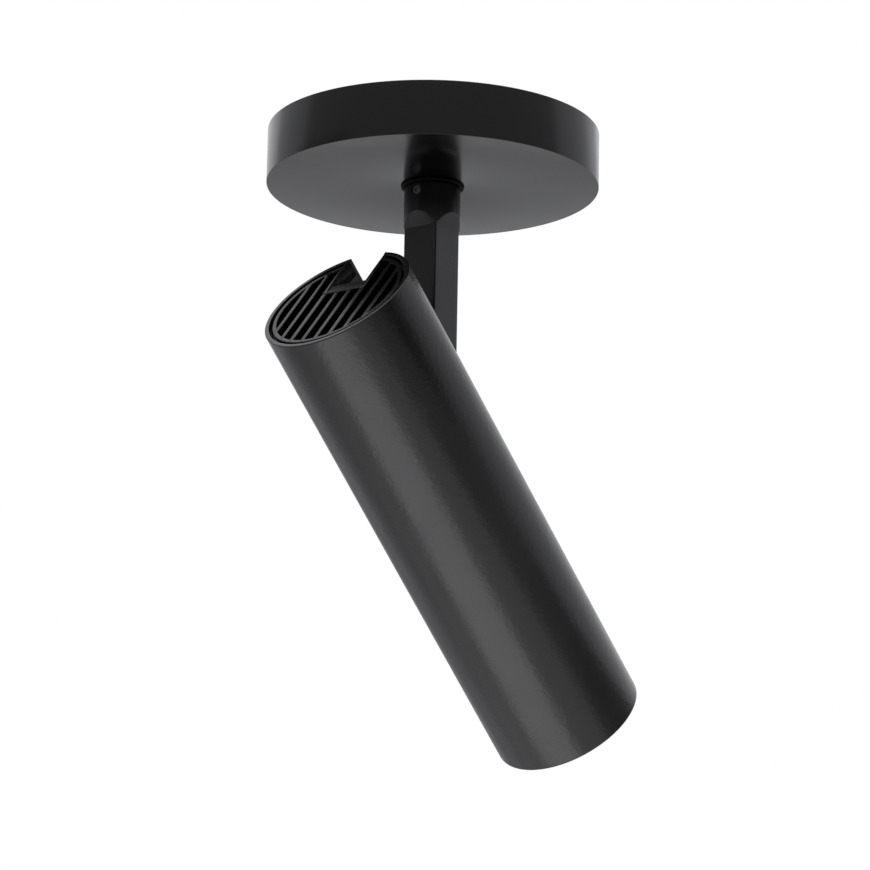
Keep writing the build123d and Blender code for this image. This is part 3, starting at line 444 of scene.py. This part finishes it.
def soften(piece, width, angle):
    """Rounds every edge that turns by more than angle, over a width in mm."""
    step = piece.modifiers.new("soften", "BEVEL")
    step.width = width * MM
    step.segments = 2
    step.limit_method = "ANGLE"
    step.angle_limit = math.radians(angle)
    step.use_clamp_overlap = False
    step.harden_normals = False
    return settle(piece)


def smooth(piece, angle):
    """Smooth shading, with a hard line where faces turn by more than angle."""
    mesh = piece.data
    mesh.polygons.foreach_set("use_smooth", [True] * len(mesh.polygons))
    mesh.set_sharp_from_angle(angle=math.radians(angle))


def check_closed(piece):
    """Counts the edges that don't have exactly two faces: a closed solid has none."""
    bm = bmesh.new()
    bm.from_mesh(piece.data)
    loose = sum(len(edge.link_faces) != 2 for edge in bm.edges)
    print(f"{piece.name}: {len(bm.faces)} faces, {loose} open edges")
    bm.free()


print("mesh tools ready")

# %% [markdown]
# ## Finishes
# The effects below are shared. Grain is the orange-peel skin of baked powder paint: the powder
# melts into low hills, so the height is noise, and slow patches of noise vary how satin it is.
# The hills bend what the paint reflects, which makes the edge of a bright band ragged. Rub is
# what hands and tools do to an edge: it finds edges by comparing the surface with a rounded
# copy of itself, which the Bevel node gives. Sizes of pattern are in mm.

# %% Shared effect: coat grain
grain, given = start_group(
    "coat_grain",
    [("Vector", "Vector"), ("Color", "Color", (0.01, 0.01, 0.01, 1)), ("Grain Size", "Float", 0.35),
     ("Patch Size", "Float", 18.0), ("Roughness", "Float", 0.38), ("Spread", "Float", 0.04),
     ("Mottle", "Float", 0.15)],
    [("Color", "Color"), ("Roughness", "Float"), ("Height", "Float")],
)
PER_METRE = 1000.0                        # divided by a size in mm
LOW, HIGH = 0.3, 0.7                      # noise seldom leaves this range
hills = noise(grain, given["Vector"], math_node(grain, "DIVIDE", PER_METRE, given["Grain Size"]),
              detail=3.0, rough=0.55)
patches = noise(grain, given["Vector"], math_node(grain, "DIVIDE", PER_METRE, given["Patch Size"]),
                detail=4.0, rough=0.6, distortion=0.4)
swing = remap(grain, patches, LOW, HIGH, -1.0, 1.0)
tint = math_node(grain, "ADD", math_node(grain, "MULTIPLY", swing, given["Mottle"]), 1.0)
speck = remap(grain, hills, LOW, HIGH, 0.9, 1.1)
shade = math_node(grain, "MULTIPLY", tint, speck)
uneven = math_node(grain, "MULTIPLY", swing, given["Spread"])
add(grain, "NodeGroupOutput", {
    "Color": scaled(grain, given["Color"], shade),
    "Roughness": math_node(grain, "ADD", given["Roughness"], uneven),
    "Height": hills,
})
print("group:", grain.name)

# %% Shared effect: rubbed edges
rub, given = start_group(
    "edge_rub",
    [("Vector", "Vector"), ("Color", "Color"), ("Rubbed Color", "Color", (0.045, 0.045, 0.046, 1)),
     ("Reach", "Float", 0.3), ("Amount", "Float", 0.5)],
    [("Color", "Color"), ("Mask", "Float")],
)
FLAT, TURNED = 0.995, 0.93                # how alike the two normals are off and on an edge
BLOTCHES = 160.0                          # in a metre
reach = math_node(rub, "MULTIPLY", given["Reach"], MM)
round_off = add(rub, "ShaderNodeBevel", {"Radius": reach}, samples=6).outputs["Normal"]
true_normal = add(rub, "ShaderNodeNewGeometry").outputs["Normal"]
alike = add(rub, "ShaderNodeVectorMath", {0: round_off, 1: true_normal}, operation="DOT_PRODUCT")
edge = remap(rub, alike.outputs["Value"], FLAT, TURNED, 0.0, 1.0)
patchy = remap(rub, noise(rub, given["Vector"], BLOTCHES, detail=4.0), 0.4, 0.65, 0.15, 1.0)
worn = math_node(rub, "MULTIPLY", edge, patchy)
mask = math_node(rub, "MULTIPLY", worn, given["Amount"], clamp=True)
rubbed = mixed_colour(rub, mask, given["Color"], given["Rubbed Color"])
add(rub, "NodeGroupOutput", {"Color": rubbed, "Mask": mask})
print("group:", rub.name)

# %% [markdown]
# Bare and plated metal is never even. It is drawn, rolled or turned, and each of these leaves
# fine lines in one direction. Stretching a noise along one axis gives such lines. Moulded
# plastic has a soft spark-eroded skin instead, with a faint cloudiness in its colour.

# %% Shared effects: drawn metal and moulded skin
drawn, given = start_group(
    "drawn_metal",
    [("Vector", "Vector"), ("Color", "Color", (0.6, 0.6, 0.6, 1)), ("Line Width", "Float", 0.12),
     ("Roughness", "Float", 0.3), ("Spread", "Float", 0.1), ("Tarnish", "Float", 0.2)],
    [("Color", "Color"), ("Roughness", "Float"), ("Height", "Float")],
)
ALONG_LINES = (1.0, 0.04, 1.0)            # squeezes the pattern's Y, which draws it out there
TARNISH_PUFFS = 90.0                      # in a metre
TARNISH_DIMS, TARNISH_DULLS = 0.5, 0.3    # at full tarnish
stretched = add(drawn, "ShaderNodeVectorMath", {0: given["Vector"], 1: ALONG_LINES},
                operation="MULTIPLY").outputs[0]
lines = noise(drawn, stretched, math_node(drawn, "DIVIDE", PER_METRE, given["Line Width"]),
              detail=3.0, rough=0.6)
clouds = noise(drawn, given["Vector"], TARNISH_PUFFS, detail=5.0, rough=0.65)
lined = remap(drawn, lines, 0.25, 0.75, -1.0, 1.0)
dull = math_node(drawn, "MULTIPLY", remap(drawn, clouds, 0.4, 0.75, 0.0, 1.0), given["Tarnish"])
dimmed = math_node(drawn, "SUBTRACT", 1.0, math_node(drawn, "MULTIPLY", dull, TARNISH_DIMS))
uneven = math_node(drawn, "MULTIPLY", lined, given["Spread"])
rough = math_node(drawn, "ADD", given["Roughness"], uneven)
duller = math_node(drawn, "MULTIPLY", dull, TARNISH_DULLS)
add(drawn, "NodeGroupOutput", {
    "Color": scaled(drawn, given["Color"], dimmed), "Height": lines,
    "Roughness": math_node(drawn, "ADD", rough, duller),
})

skin, given = start_group(
    "moulded_skin",
    [("Vector", "Vector"), ("Color", "Color", (0.5, 0.5, 0.5, 1)), ("Grain Size", "Float", 0.2),
     ("Roughness", "Float", 0.5), ("Cloud", "Float", 0.08)],
    [("Color", "Color"), ("Roughness", "Float"), ("Height", "Float")],
)
HAZE_PUFFS = 70.0                         # in a metre
HAZE_DULLS = 0.04
pits = add(skin, "ShaderNodeTexVoronoi", {
    "Vector": given["Vector"], "Randomness": 1.0,
    "Scale": math_node(skin, "DIVIDE", PER_METRE, given["Grain Size"]),
}, feature="SMOOTH_F1").outputs["Distance"]
haze = noise(skin, given["Vector"], HAZE_PUFFS, detail=4.0)
hazed = remap(skin, haze, LOW, HIGH, -1.0, 1.0)
cast = math_node(skin, "ADD", math_node(skin, "MULTIPLY", hazed, given["Cloud"]), 1.0)
duller = math_node(skin, "MULTIPLY", hazed, HAZE_DULLS)
add(skin, "NodeGroupOutput", {
    "Color": scaled(skin, given["Color"], cast), "Height": pits,
    "Roughness": math_node(skin, "ADD", given["Roughness"], duller),
})
print("groups:", drawn.name, skin.name)

# %% [markdown]
# Each finish of the real object is one material, named after its slot in the record. The
# three families below differ in which shared effect drives them. The Principled shader stays
# in the material, and what doesn't vary is set straight on it.

# %% Material families
finishes = {}


def start_finish(slot, values):
    """A material with a Principled shader, and the place it reads its pattern from."""
    finish = bpy.data.materials.new(slot)
    finish.use_nodes = True
    tree = finish.node_tree
    tree.nodes.clear()
    shader = add(tree, "ShaderNodeBsdfPrincipled", values)
    add(tree, "ShaderNodeOutputMaterial", {"Surface": shader.outputs[0]})
    finishes[slot] = finish
    return tree, shader, add(tree, "ShaderNodeTexCoord").outputs["Object"]


def feed(tree, shader, effect, depth, colour=None):
    """Links an effect's outputs to the shader. depth is the bump's height in mm."""
    tree.links.new(colour or effect.outputs["Color"], shader.inputs["Base Color"])
    tree.links.new(effect.outputs["Roughness"], shader.inputs["Roughness"])
    bump = add(tree, "ShaderNodeBump", {
        "Height": effect.outputs["Height"], "Distance": depth * MM, "Strength": 1.0})
    tree.links.new(bump.outputs[0], shader.inputs["Normal"])


def powder_coat(slot, colour, size, roughness, depth, rubbed=0.5, ior=1.5):
    """Baked powder paint, with its edges rubbed a little."""
    tree, shader, place = start_finish(slot, {"IOR": ior})
    effect = add(tree, "ShaderNodeGroup", {
        "Vector": place, "Color": (*colour, 1), "Grain Size": size, "Roughness": roughness,
    }, node_tree=grain)
    wear = add(tree, "ShaderNodeGroup", {
        "Vector": place, "Color": effect.outputs["Color"], "Amount": rubbed}, node_tree=rub)
    feed(tree, shader, effect, depth, wear.outputs["Color"])


def bare_metal(slot, colour, roughness, line=0.12, spread=0.08, tarnish=0.25, depth=0.004,
               turn=None):
    """Plated, blackened, brass or aluminium parts. turn swings the lines' direction."""
    tree, shader, place = start_finish(slot, {"Metallic": 1.0})
    if turn:
        place = add(tree, "ShaderNodeMapping", {"Vector": place, "Rotation": turn}).outputs[0]
    effect = add(tree, "ShaderNodeGroup", {
        "Vector": place, "Color": (*colour, 1), "Line Width": line, "Roughness": roughness,
        "Spread": spread, "Tarnish": tarnish,
    }, node_tree=drawn)
    feed(tree, shader, effect, depth)


def moulding(slot, colour, roughness, size=0.2, depth=0.006, cloud=0.08, **values):
    """Plastic and rubber parts."""
    tree, shader, place = start_finish(slot, values)
    effect = add(tree, "ShaderNodeGroup", {
        "Vector": place, "Color": (*colour, 1), "Grain Size": size, "Roughness": roughness,
        "Cloud": cloud,
    }, node_tree=skin)
    feed(tree, shader, effect, depth)


print("families ready")

# %% Coats
BLACK = (0.0024, 0.0024, 0.0025)
BLACK_DARKENED_FOR_SHADE = (0.0007, 0.0007, 0.0007)     # painted shade: the black coat made darker than the lamp's, on the steel stem and the canopy, so the stem's head in the canopy's shade and the dark band above it render nearly black
# slot, colour, grain size in mm, roughness, height of the grain in mm
# the canopy and the stem take the darker black, which paints in the shade under the canopy
powder_coat("canopy_paint", BLACK_DARKENED_FOR_SHADE, 1.2, 0.18, 0.016)
powder_coat("stem_paint", BLACK_DARKENED_FOR_SHADE, 0.50, 0.30, 0.010, ior=1.56)
powder_coat("lamp_paint", BLACK, 2.0, 0.28, 0.10)
powder_coat("grille_paint", BLACK, 0.30, 0.27, 0.008, rubbed=0.35, ior=1.36)
powder_coat("housing_paint", BLACK, 0.30, 0.38, 0.008)
print("coats:", sorted(finishes))

# %% Metals, plastics and rubber
# slot, colour, roughness
bare_metal("zinc_steel", (0.33, 0.335, 0.34), 0.36, line=0.2, spread=0.12, tarnish=0.2,
           depth=0.008)
bare_metal("black_steel", (0.24, 0.24, 0.245), 0.36, tarnish=0.4)
bare_metal("brass", (0.56, 0.42, 0.19), 0.26)
bare_metal("bronze", (0.60, 0.40, 0.20), 0.45, line=0.3)
bare_metal("capacitor_can", (0.50, 0.50, 0.52), 0.30)
bare_metal("sink_aluminium", (0.55, 0.55, 0.56), 0.38, line=0.2, turn=(0, TILT, 0))
moulding("baffle_plastic", (0.012, 0.012, 0.012), 0.55, size=0.25, depth=0.01)
moulding("rubber", (0.02, 0.02, 0.02), 0.7, size=0.3, depth=0.01)
moulding("pad_rubber", (0.45, 0.45, 0.47), 0.75)
moulding("white_plastic", (0.82, 0.82, 0.80), 0.42, cloud=0.03)
moulding("dark_plastic", (0.06, 0.06, 0.06), 0.5)
moulding("black_nylon", (0.002, 0.002, 0.002), 0.8, IOR=1.22)
moulding("nylon", (0.78, 0.76, 0.70), 0.45, cloud=0.05)
moulding("wire_plastic", (0.35, 0.35, 0.36), 0.4)
moulding("board_aluminium", (0.80, 0.80, 0.80), 0.35, cloud=0.02)
moulding("green_board", (0.04, 0.22, 0.09), 0.3, cloud=0.2)
moulding("phosphor", (0.85, 0.72, 0.20), 0.55, size=0.5, cloud=0.06)
print("finishes so far:", len(finishes))

# %% [markdown]
# The lens is clear glass and the reflector bright metal. Glass keeps a plain transmission,
# and a very faint ripple from polishing is all that its surface needs. The reflector is
# polished and then vapour coated, which leaves a slightly uneven brightness.

# %% Glass and mirror
RIPPLES = 110.0                           # in a metre
RIPPLE_HEIGHT = 0.02                      # mm
tree, shader, place = start_finish("lens_glass", {
    "Base Color": (0.96, 0.98, 0.985, 1), "Roughness": 0.02, "IOR": 1.49,
    "Transmission Weight": 1.0})
ripple = add(tree, "ShaderNodeBump", {
    "Height": noise(tree, place, RIPPLES, detail=1.0), "Distance": RIPPLE_HEIGHT * MM,
    "Strength": 0.6})
tree.links.new(ripple.outputs[0], shader.inputs["Normal"])

bare_metal("reflector_mirror", (0.90, 0.90, 0.90), 0.10, line=0.4, spread=0.03, tarnish=0.08,
           depth=0.001)
missing = [m["slot"] for m in frame["record"]["materials"] if m["slot"] not in finishes]
print("slots without a finish:", missing)

# %% [markdown]
# ## Placing a piece
# A finished piece is dressed with the material named after its finish's slot and hung on the body it rides on, and
# the CAD parts that it stands for are hidden.

# %% Dress
def dress(piece, body, slot, *nodes, angle=30.0):
    """Shading, finish, body and the CAD parts that piece stands for."""
    smooth(piece, angle)
    piece.data.materials.clear()
    piece.data.materials.append(finishes[slot])
    check_closed(piece)
    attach(piece, body)
    if nodes:
        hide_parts(*nodes)
    return piece


print("dress ready")

# %% [markdown]
# ## Canopy
# The canopy is a shallow cup, deep drawn from sheet and trimmed on a lathe, so a lathe
# outline is the natural way to make it. The three ledges inside catch the ceiling plate's
# clips, and the small hole in the side is for the screw that locks it.

# %% Canopy cover
COVER_R, COVER_BORE = 60.0, 58.0
CEILING, COVER_FLOOR, COVER_UNDER = 0.0, -17.5, -20.0
BUSH_SEAT = 7.01                          # radius of the hole that the swivel's bush sits in
LEDGES, LEDGE_HALF, LEDGE_INNER = 3, 6, 53.5
LEDGE_LOW, LEDGE_TOP = -6.0, -3.0
LOCK_ANGLE, LOCK_Z, LOCK_R = 60, -10, 1.75

cover = lathe("canopy_cover", rounded([
    (BUSH_SEAT, COVER_FLOOR, 0.1), (BUSH_SEAT, COVER_UNDER, 0.12),
    (COVER_R, COVER_UNDER, 0.12), (COVER_R, CEILING, 0.3),
    (COVER_BORE, CEILING, 0.2), (COVER_BORE, COVER_FLOOR, 0.8),
]), segments=360)
for k in range(LEDGES):
    turn = Matrix.Rotation(math.radians(360 * k / LEDGES), 4, "Z")
    into_wall = COVER_BORE + 1
    ledge = rounded([(LEDGE_INNER, -LEDGE_HALF, 0.8), (into_wall, -LEDGE_HALF),
                     (into_wall, LEDGE_HALF), (LEDGE_INNER, LEDGE_HALF, 0.8)])
    combine(cover, prism("ledge", ledge, LEDGE_LOW, LEDGE_TOP, turn), "UNION")
lock_hole = Matrix.Rotation(math.radians(LOCK_ANGLE), 4, "Z") \
    @ Matrix.Translation((0, 0, LOCK_Z * MM)) @ Matrix.Rotation(math.radians(90), 4, "Y")
combine(cover, prism("lock_hole", circle(LOCK_R), 50.0, 66.0, lock_hole))
dress(cover, "canopy", "canopy_paint", "canopy_shell")

# %% [markdown]
# Between the canopy and the stem's head lies a thin slip washer. It shows as a dark edge
# either side of the head, a little wider than it.

# %% Slip washer
HEAD_TOP = -20.5                          # where the washer ends and the stem begins
WASHER_R, NIPPLE_HOLE = 11.4, 5.05
washer = lathe("swivel_washer", rounded([
    (NIPPLE_HOLE, COVER_UNDER, 0.08), (NIPPLE_HOLE, HEAD_TOP, 0.08),
    (WASHER_R, HEAD_TOP, 0.12), (WASHER_R, COVER_UNDER, 0.12)]), segments=192)
dress(washer, "stem", "black_nylon", "slip_washer")

# %% [markdown]
# ## Stem
# The stem is a square bar turned round at its head, with four sloping flats where the round
# meets the square. Each level of it is a circle trimmed by a square, so it is built as a
# stack of rings that all have the same number of points, like a loft. The square's corners
# are drawn with a real radius, because the near one shows as a thin line in the picture.

# %% Stem sections
HEAD_R, HALF, CORNER = 10.151, 7.125, 0.45
TAPER_TOP, TAPER_END = -31.5, -36.6
FLAT_POINTS, CORNER_POINTS = 6, 10


def trimmed_circle(half_angle):
    """A circle with four flats. Each flat spans half_angle degrees either side of its axis."""
    x = HEAD_R * math.cos(math.radians(half_angle))
    reach = HEAD_R * math.sin(math.radians(half_angle))
    quarter = [(x, reach * (2 * k / FLAT_POINTS - 1)) for k in range(FLAT_POINTS)]
    quarter += arc(HEAD_R, half_angle, 90 - half_angle, CORNER_POINTS)[:-1]
    return four_times(quarter)


def rounded_square():
    """The bar's section, point for point like trimmed_circle."""
    inner = HALF - CORNER
    quarter = [(HALF, inner * (2 * k / FLAT_POINTS - 1)) for k in range(FLAT_POINTS)]
    quarter += [(inner + x, inner + y) for x, y in arc(CORNER, 0, 90, CORNER_POINTS)[:-1]]
    return four_times(quarter)


def four_times(quarter):
    """The same points in all four quarters."""
    turns = [(1, 0), (0, 1), (-1, 0), (0, -1)]
    return [(c * x - s * y, s * x + c * y) for c, s in turns for x, y in quarter]


def full_circle(flat_angle):
    """A whole circle, with its points at the same angles as trimmed_circle(flat_angle)."""
    return [tuple(Vector(p).normalized() * HEAD_R) for p in trimmed_circle(flat_angle)]


FIRST_FLAT, FULL_FLAT = 3.6, 44.95        # degrees: a flat has just begun, or fills its side
TAPER_STEPS = 15
levels = [(HEAD_TOP, full_circle(FIRST_FLAT)), (TAPER_TOP, full_circle(FIRST_FLAT))]
for k in range(TAPER_STEPS + 1):
    angle = FIRST_FLAT + (FULL_FLAT - FIRST_FLAT) * k / TAPER_STEPS
    drop = (HEAD_R * (1 - math.cos(math.radians(angle)))) / (HEAD_R - HALF)
    levels.append((TAPER_TOP + (TAPER_END - TAPER_TOP) * drop, trimmed_circle(angle)))
levels += [(TAPER_END, rounded_square()), (pivot_z - HALF, rounded_square())]
print("stem levels:", len(levels), "points each:", len(levels[0][1]))

# %% Stem body
ALONG_Y = Matrix.Rotation(math.radians(90), 4, "X")      # local Z to -Y, local Y to Z
ALONG_X = Matrix.Rotation(math.radians(-90), 4, "Y")     # local Z to -X, local X to Z
PAST = 20                                 # mm: far enough for a cutter to come out
END_R = HALF + 0.003                      # a hair wider, so its cut starts below the pin's line
EYE_HALF, EYE_TOP = 6.1, 6.8              # the eye is thinner, for a friction washer each side
BUSH_R, WIRE_BORE, WIRE_BORE_END = 4.11, 3.0, -88.2
NIPPLE_END = -33.0
WIRE_EXIT_Z, WIRE_EXIT_R = -85.9, 2.5
GRUB_Z, GRUB_HOLE = -23.5, 2.05

bm = bmesh.new()
rings = [[bm.verts.new((x, y, z)) for x, y in outline] for z, outline in levels]
for ring, after in zip(rings, rings[1:]):
    for k in range(len(ring)):
        n = (k + 1) % len(ring)
        bm.faces.new((ring[k], after[k], after[n], ring[n]))
bm.faces.new(rings[0])
bm.faces.new(rings[-1])
stem = new_piece("square_stem", bm, HERE)

wide = HALF + 10
half_round = [(x, pivot_z + y) for x, y in arc(END_R, 180, 360, 64)]
under = [(-wide, pivot_z), *half_round, (wide, pivot_z),
         (wide, pivot_z - PAST), (-wide, pivot_z - PAST)]
combine(stem, prism("round_end", under, -PAST, PAST, ALONG_Y))
relief = [(-PAST, pivot_z - PAST), (PAST, pivot_z - PAST),
          (PAST, pivot_z + EYE_TOP), (-PAST, pivot_z + EYE_TOP)]
for low, high in ((-PAST, -EYE_HALF), (EYE_HALF, PAST)):
    combine(stem, prism("eye_relief", relief, low, high, ALONG_Y))
soften(stem, 0.12, angle=26.0)
bush_seat = [(x, pivot_z + y) for x, y in circle(BUSH_R)]
combine(stem, prism("bush_seat", bush_seat, -PAST, PAST, ALONG_Y))
combine(stem, lathe("socket", [
    (0, HEAD_TOP + 1), (NIPPLE_HOLE, HEAD_TOP + 1), (NIPPLE_HOLE, NIPPLE_END),
    (WIRE_BORE, NIPPLE_END), (WIRE_BORE, WIRE_BORE_END), (0, WIRE_BORE_END)], segments=64))
for name, height, radius in (("wire_exit", WIRE_EXIT_Z, WIRE_EXIT_R),
                             ("grub_hole", GRUB_Z, GRUB_HOLE)):
    hole = [(height + x, y) for x, y in circle(radius)]
    combine(stem, prism(name, hole, 0, PAST, ALONG_X))
dress(stem, "stem", "stem_paint", "stem")

# %% [markdown]
# A small socket screw in the side of the head stops the stem from unscrewing. It has a hex
# socket and a chamfered rim, and sits a little below the surface.

# %% Grub screw
GRUB_AT = Matrix.Translation((0, 0, GRUB_Z * MM)) @ ALONG_X
GRUB_R, GRUB_TIP, GRUB_FACE = 2.0, 5.0, 9.75    # the last two from the stem's axis
HEX_R, HEX_FLOOR = 0.9, 9.3
screw = lathe("grub_screw", rounded([
    (0, GRUB_TIP), (1.7, GRUB_TIP, 0.1), (GRUB_R, 5.3, 0.1), (GRUB_R, 9.35, 0.1),
    (1.6, GRUB_FACE, 0.1), (0, GRUB_FACE)]), GRUB_AT, segments=64)
combine(screw, prism("hex_socket", circle(HEX_R, 6), HEX_FLOOR, 10.5, GRUB_AT))
dress(screw, "stem", "black_steel", "stem_grub_screw")

# %% [markdown]
# ## Lamp tube
# The tube is drawn aluminium, faced on a lathe with a small radius at the rear rim and a
# larger one at the front, then slotted with a milling cutter from the rear. The slot lets
# the stem swing in as the lamp comes straight down.

# %% Tube
R_OUT, R_IN, LENGTH = 28.0, 26.3, 192.0
SLOT_HALF, SLOT_FLOOR, SLOT_CORNER = 7.5, -64.925, 2.0
tube = lathe("lamp_body", rounded([
    (R_IN, 0.0, 0.15), (R_OUT, 0.0, 0.35), (R_OUT, -LENGTH, 0.8), (R_IN, -LENGTH, 0.2),
], steps=5), LAMP)
# local X across the slot, local Y up the tube, local Z out through the slot
SLOT_PLANE = LAMP @ Matrix(((0, 0, 1, 0), (1, 0, 0, 0), (0, 1, 0, 0), (0, 0, 0, 1)))
slot_outline = rounded([
    (-SLOT_HALF, 5.0), (SLOT_HALF, 5.0), (SLOT_HALF, SLOT_FLOOR, SLOT_CORNER),
    (-SLOT_HALF, SLOT_FLOOR, SLOT_CORNER)], steps=8)
combine(tube, prism("slot_cutter", slot_outline, 5.0, 40.0, SLOT_PLANE))
soften(tube, 0.15, angle=50.0)
dress(tube, "lamp", "lamp_paint", "lamp_tube")

# %% [markdown]
# ## Rear grille
# The rear of the tube is closed by a cast cap with eight slats, so that warm air can leave.
# It starts as a turned disc with a rim. The gaps between the slats are one cutter with many
# prisms, each with small radii where a slat runs into the rim, as a casting has. Two raised
# lips run along the slot, almost level with the tube's rim, and a separate cap with a sloping
# top covers its inner end. All edges are then rounded, which gives every slat its thin light
# line.

# %% Grille
RIM_R, SKIRT_R, OPENING_R = 25.1, 26.2, 23.55
CAP_TOP, SHOULDER, CAP_BOTTOM = -0.3, -2.8, -5.8
BAR_START, BAR_END = 5.495, 7.995         # the bar across the slot's inner end
SLAT, PITCH = 1.55, 5.45
FRAME_HALF, CAP_HALF = 9.1, 7.28          # half the width over both lips, and between them
LIP_TOP, LIP_LOW = -0.12, -4.0
LIP_REACH = SKIRT_R + 0.02                # the lips end a hair outside the skirt

grille = lathe("slatted_grille", rounded([
    (0, CAP_TOP), (RIM_R, CAP_TOP, 0.25), (RIM_R, SHOULDER, 0.1), (SKIRT_R, SHOULDER, 0.1),
    (SKIRT_R, CAP_BOTTOM, 0.1), (0, CAP_BOTTOM)]), LAMP)
inner_turn = math.degrees(math.asin(CAP_HALF / LIP_REACH))
outer_turn = math.degrees(math.asin(FRAME_HALF / LIP_REACH))
lip = [(BAR_START, CAP_HALF), *arc(LIP_REACH, inner_turn, outer_turn, 2), (BAR_START, FRAME_HALF)]
lips = [lip, [(x, -y) for x, y in lip]]
combine(grille, prism("lips", lips, LIP_LOW, LIP_TOP, LAMP), "UNION")


GAP_STEPS = 10
TIP_RADIUS, GAP_RADIUS = 0.1, 0.16


def gap(low, high, right_end=None):
    """The outline of one gap between slats, between two heights across the disc."""
    heights = [low + (high - low) * k / GAP_STEPS for k in range(GAP_STEPS + 1)]
    ends = [(math.sqrt(max(OPENING_R**2 - y * y, 0)), y) for y in heights]
    left = [(-x, y) for x, y in reversed(ends)]
    if high == OPENING_R:                 # the outermost gap closes in a point on the rim
        outline = ends + left[1:]
        corners, radius = (0, len(outline) - 1), TIP_RADIUS
    else:
        right = [(right_end, low), (right_end, high)] if right_end else ends
        outline = right + left
        corners, radius = (0, len(right) - 1, len(right), len(outline) - 1), GAP_RADIUS
    marked = [(*p, radius) if k in corners else p for k, p in enumerate(outline)]
    return rounded(marked, steps=3)


edges_up = [PITCH * (k + 0.5) - SLAT / 2 for k in range(4)]      # lower edge of each slat
gaps = [gap(-edges_up[0], edges_up[0], BAR_START)]
for side in (-1, 1):
    pairs = [(edges_up[0] + SLAT, edges_up[1], BAR_START), (FRAME_HALF, edges_up[2], None),
             (edges_up[2] + SLAT, edges_up[3], None), (edges_up[3] + SLAT, OPENING_R, None)]
    for low, high, end in pairs:
        gaps.append([(x, side * y) for x, y in gap(low, high, end)])
BELOW, ABOVE = -10.0, 3.0                 # from well below the cap to well above it
combine(grille, prism("gaps", gaps, BELOW, ABOVE, LAMP))
slot_way = [(BAR_END, -SLOT_HALF), (40, -SLOT_HALF), (40, SLOT_HALF), (BAR_END, SLOT_HALF)]
combine(grille, prism("slot_way", slot_way, BELOW, ABOVE, LAMP))
soften(grille, 0.16, angle=50.0)
dress(grille, "lamp", "grille_paint", "rear_grille")

# %% Slot cap
WALL_END, WALL_TOP = 10.295, -1.6         # the slot's inner wall, which the cap covers
CAP_FALL = 0.34                           # how much lower the cap is on the slot's side
cap = prism("slot_cap", rounded([
    (BAR_START, CAP_TOP), (BAR_END, CAP_TOP), (BAR_END, WALL_TOP), (WALL_END, WALL_TOP),
    (WALL_END, LIP_TOP - CAP_FALL, 0.15), (BAR_START + 0.3, LIP_TOP, 0.1)]),
    -CAP_HALF, CAP_HALF, LAMP @ ALONG_Y)
dress(cap, "lamp", "housing_paint", "rear_grille")

# %% [markdown]
# ## Front end
# Behind the front opening sits a stepped ring that keeps glare off the wall, then the lens,
# then a reflector with flat facets that mixes the light of the source. The facets are real:
# each ring of the cup is a polygon, while its flange stays round.

# %% Baffle, lens and reflector
FIT_R = 26.2                              # what sits in the tube, with its running gap
TEETH, TOOTH_PITCH, TOOTH_DEPTH = 6, 3.6, 0.6
MOUTH_Z, MOUTH_R, NARROWER = -191, 24.7, 1.7    # the front end, and how much the ring narrows
teeth = []
for k in range(TEETH):
    inner = MOUTH_R - (k + 1) * NARROWER / TEETH
    teeth += [(inner + TOOTH_DEPTH, MOUTH_Z + TOOTH_PITCH * k, 0.1),
              (inner, MOUTH_Z + TOOTH_PITCH * (k + 1), 0.15)]
teeth[0] = (MOUTH_R, MOUTH_Z, 0.2)
baffle = lathe("stepped_baffle", rounded([
    (FIT_R, MOUTH_Z, 0.3), *teeth, (FIT_R, MOUTH_Z + TEETH * TOOTH_PITCH, 0.2)]), LAMP)
dress(baffle, "lamp", "baffle_plastic", "front_baffle")

GLASS_R, GLASS_BACK, GLASS_FRONT = 25.7, -165.4, -168.4
glass = lathe("front_glass", rounded([
    (0, GLASS_BACK), (GLASS_R, GLASS_BACK, 0.3), (GLASS_R, GLASS_FRONT, 0.3),
    (0, GLASS_FRONT)]), LAMP)
dress(glass, "lamp", "lens_glass", "front_lens")

SECTORS, ROWS = 32, 9
CUP_NECK, CUP_GROWS, CUP_BULGE = 8.5, 14.0, 1.3
CUP_BACK, CUP_DEPTH, CUP_WALL = -140.4, 25.0, 1.0
cup = []
for k in range(ROWS + 1):
    share = k / ROWS
    bulge = CUP_BULGE * 4 * share * (1 - share)
    cup.append((CUP_NECK + CUP_GROWS * share + bulge, CUP_BACK - CUP_DEPTH * share))
outer = [(r + CUP_WALL, z) for r, z in cup[:-1]]
outer.append((cup[-1][0] + CUP_WALL, GLASS_BACK + CUP_WALL))
outline = cup + [(FIT_R, GLASS_BACK), (FIT_R, GLASS_BACK + CUP_WALL)] + outer[::-1]
ROUND_ROWS = {len(cup), len(cup) + 1}


def facet(row, angle, radius):
    """Flattens each sector of the cup, and leaves the flange round."""
    if row in ROUND_ROWS:
        return radius
    width = 2 * math.pi / SECTORS
    off = (angle + width / 2) % width - width / 2
    return radius * math.cos(width / 2) / math.cos(off)


mirror = lathe("faceted_reflector", outline, LAMP, segments=SECTORS * 8, reach=facet)
dress(mirror, "lamp", "reflector_mirror", "reflector", angle=4.0)

# %% [markdown]
# ## The parts that keep their CAD shape
# Screws, washers, the driver and the light source are right as they are. They only get the
# finish of their slot.

# %% Finish the CAD parts
kept = 0
for part in frame["record"]["subparts"]:
    node = frame["nodes"][part["node"]]
    if node.hide_render:
        continue
    if not node.material_slots:
        node.data.materials.append(finishes[part["material_slot"]])
    for holder in node.material_slots:
        holder.material = finishes[part["material_slot"]]
    kept += 1
print("CAD parts kept:", kept)
